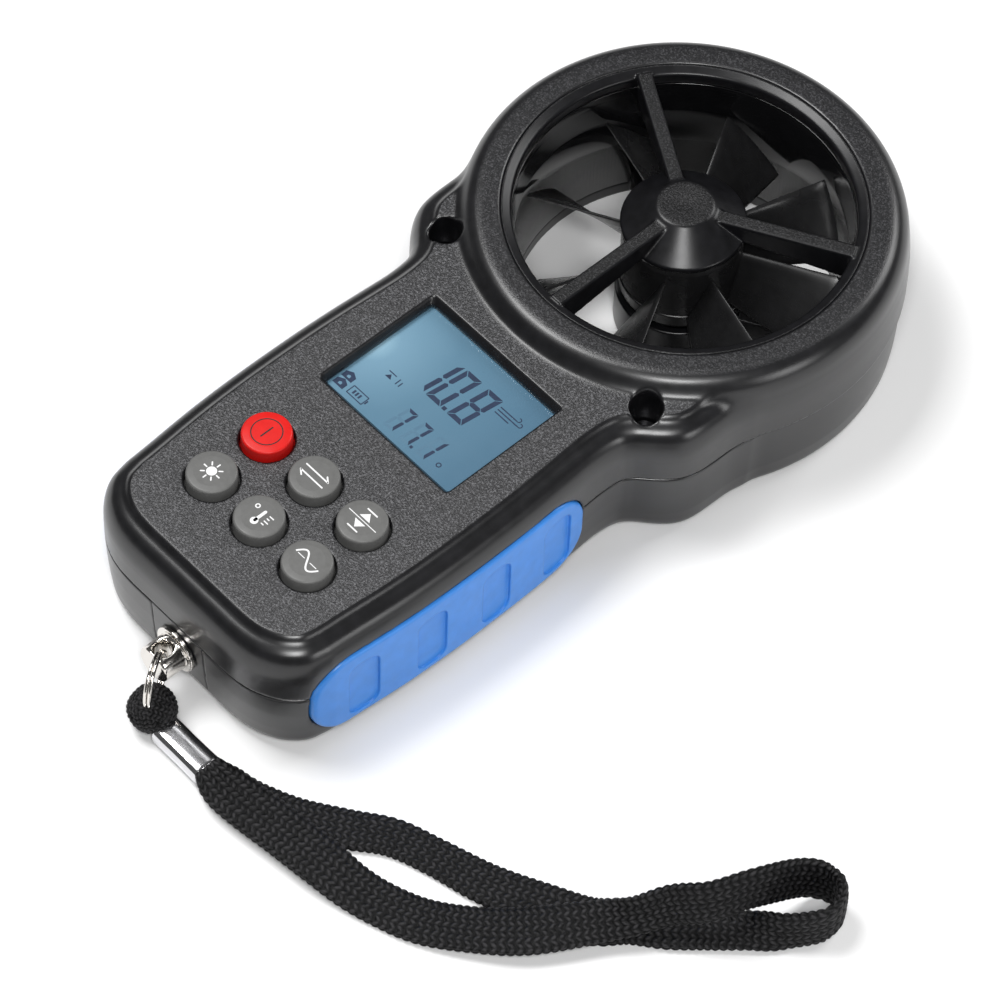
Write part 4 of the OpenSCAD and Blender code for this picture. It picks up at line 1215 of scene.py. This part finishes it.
def banded(name, colour, other, scale, axis, rough=0.5):
    """Even bands of two colours along an axis"""
    m, t, b = shader(name, colour, rough)
    wave = node(t, "ShaderNodeTexWave", Scale=scale, Distortion=0.0)
    wave.bands_direction = axis
    t.links.new(place(t), wave.inputs["Vector"])
    t.links.new(ramp(t, wave.outputs["Fac"], [(0.45, colour), (0.55, other)]), b.inputs["Base Color"])
    bump(t, b, wave.outputs["Fac"], 0.00004, 0.5)
    return m


# every CAD node that stays gets its own finish
KEPT = {
    "case_screws": SCREW_PAINTED_SHADE, "front_bearing": BRONZE, "rear_bearing": BRONZE, "impeller_shaft": STEEL,
    "sensor_magnets": metal("magnet_plate", (0.45, 0.46, 0.48), 0.25),
    "rotation_sensor": plain("sensor_body", (0.02, 0.02, 0.022), 0.45, 900, 0.00001),
    "sensor_cable": banded("ribbon", (0.55, 0.52, 0.44), (0.38, 0.36, 0.3), 900, "X"),
    "temperature_sensor": plain("bead_resin", (0.045, 0.05, 0.045), 0.28, 1200, 0.00001, 0.3, coat=0.4),
    "display_lens": lens_material(), "lcd_panel": lcd_material(),
    "backlight": plain("light_guide", (0.8, 0.86, 0.88), 0.3, 500, 0.00001, 0.04),
    "lcd_frame": plain("frame_plastic", (0.74, 0.73, 0.68), 0.45, 400, 0.00001, 0.05),
    "zebra_strip": banded("zebra_rubber", (0.7, 0.25, 0.33), (0.05, 0.05, 0.05), 1500, "X", 0.6),
    "circuit_board": board_material(),
    "key_mat": plain("mat_rubber", (0.11, 0.11, 0.115), 0.65, 1500, 0.00002),
    "battery": banded("battery_can", (0.32, 0.33, 0.35), (0.27, 0.28, 0.3), 60, "Z", 0.35),
    "battery_clip": plain("clip_plastic", (0.015, 0.015, 0.016), 0.5, 900, 0.00001),
    "battery_leads": plain("lead_insulation", (0.5, 0.03, 0.03), 0.45, 1500, 0.00001),
    "post_nut": metal("screw_zinc", (0.5, 0.5, 0.5), 0.3),
}
for name, material in KEPT.items():
    for material_slot in NODES[name].material_slots:
        material_slot.material = material


# ---------------- strap post
def post_field(x, y, z):
    """Turned post with a flange, a shank inside the case and a cross hole, opened out at its mouths"""
    radius, along = np.hypot(x, z - POST_Z), y - TAIL_Y
    head = np.maximum(smax(radius - 3.7, -6.0 - along, 0.75), along - 0.2)
    flange = np.maximum(smax(radius - 4.8, -0.9 - along, 0.3), along)
    shank = np.maximum(radius - 2.35, np.maximum(along - 8.6, -2 - along))
    f = smin(smin(head, flange, 0.3), shank, 0.1)
    flare = np.clip((np.abs(z - POST_Z) - 2.3) / 1.4, 0, 1)
    return smax(f, (1.6 + 0.8 * flare ** 1.5) - np.hypot(x, y - HOLE_Y), 0.25)


post = field_mesh("strap_post_turned", post_field, (-5.2, TAIL_Y - 6.4, 5.4), (5.2, TAIL_Y + 9.0, 15.6), 0.14,
                  NICKEL)
stand_in(post, "case", "strap_post", "nickel")

# ---------------- floor and light
def plain_floor():
    """Pale paper, just under the object"""
    m, t, b = shader("floor_paper", (0.9, 0.9, 0.9), 0.7)
    t.links.new(spread(t, noise(t, 30, 2.0), 0.66, 0.74), b.inputs["Roughness"])
    corners = [(*corner, 0) for corner in square(0, 0, 8000, 8000)]
    floor = new_object("floor", corners, [(0, 1, 2, 3)], m, smooth=False)
    floor.location.z = -0.00002


plain_floor()


def area_light(name, where, size, power):
    """Soft square light that faces the origin"""
    data = bpy.data.lights.new(name, "AREA")
    data.energy = power
    data.size = size
    light = bpy.data.objects.new(name, data)
    light.location = where
    light.rotation_euler = (-Vector(where)).to_track_quat("-Z", "Y").to_euler()
    bpy.context.scene.collection.objects.link(light)


area_light("key", (-0.42, -0.15, 1.0), 0.45, 9)
area_light("back", (0.15, 1.0, 0.75), 0.5, 5)
area_light("front", (0.46, -0.42, 0.95), 0.25, 6.5)
area_light("right", (1.0, 0.1, 0.4), 0.35, 2.2)
world = bpy.data.worlds.new("studio")
bpy.context.scene.world = world
world.use_nodes = True
background = world.node_tree.nodes["Background"]
background.inputs["Color"].default_value = (1, 1, 1, 1)
background.inputs["Strength"].default_value = 0.1
bpy.context.scene.view_settings.view_transform = "Standard"
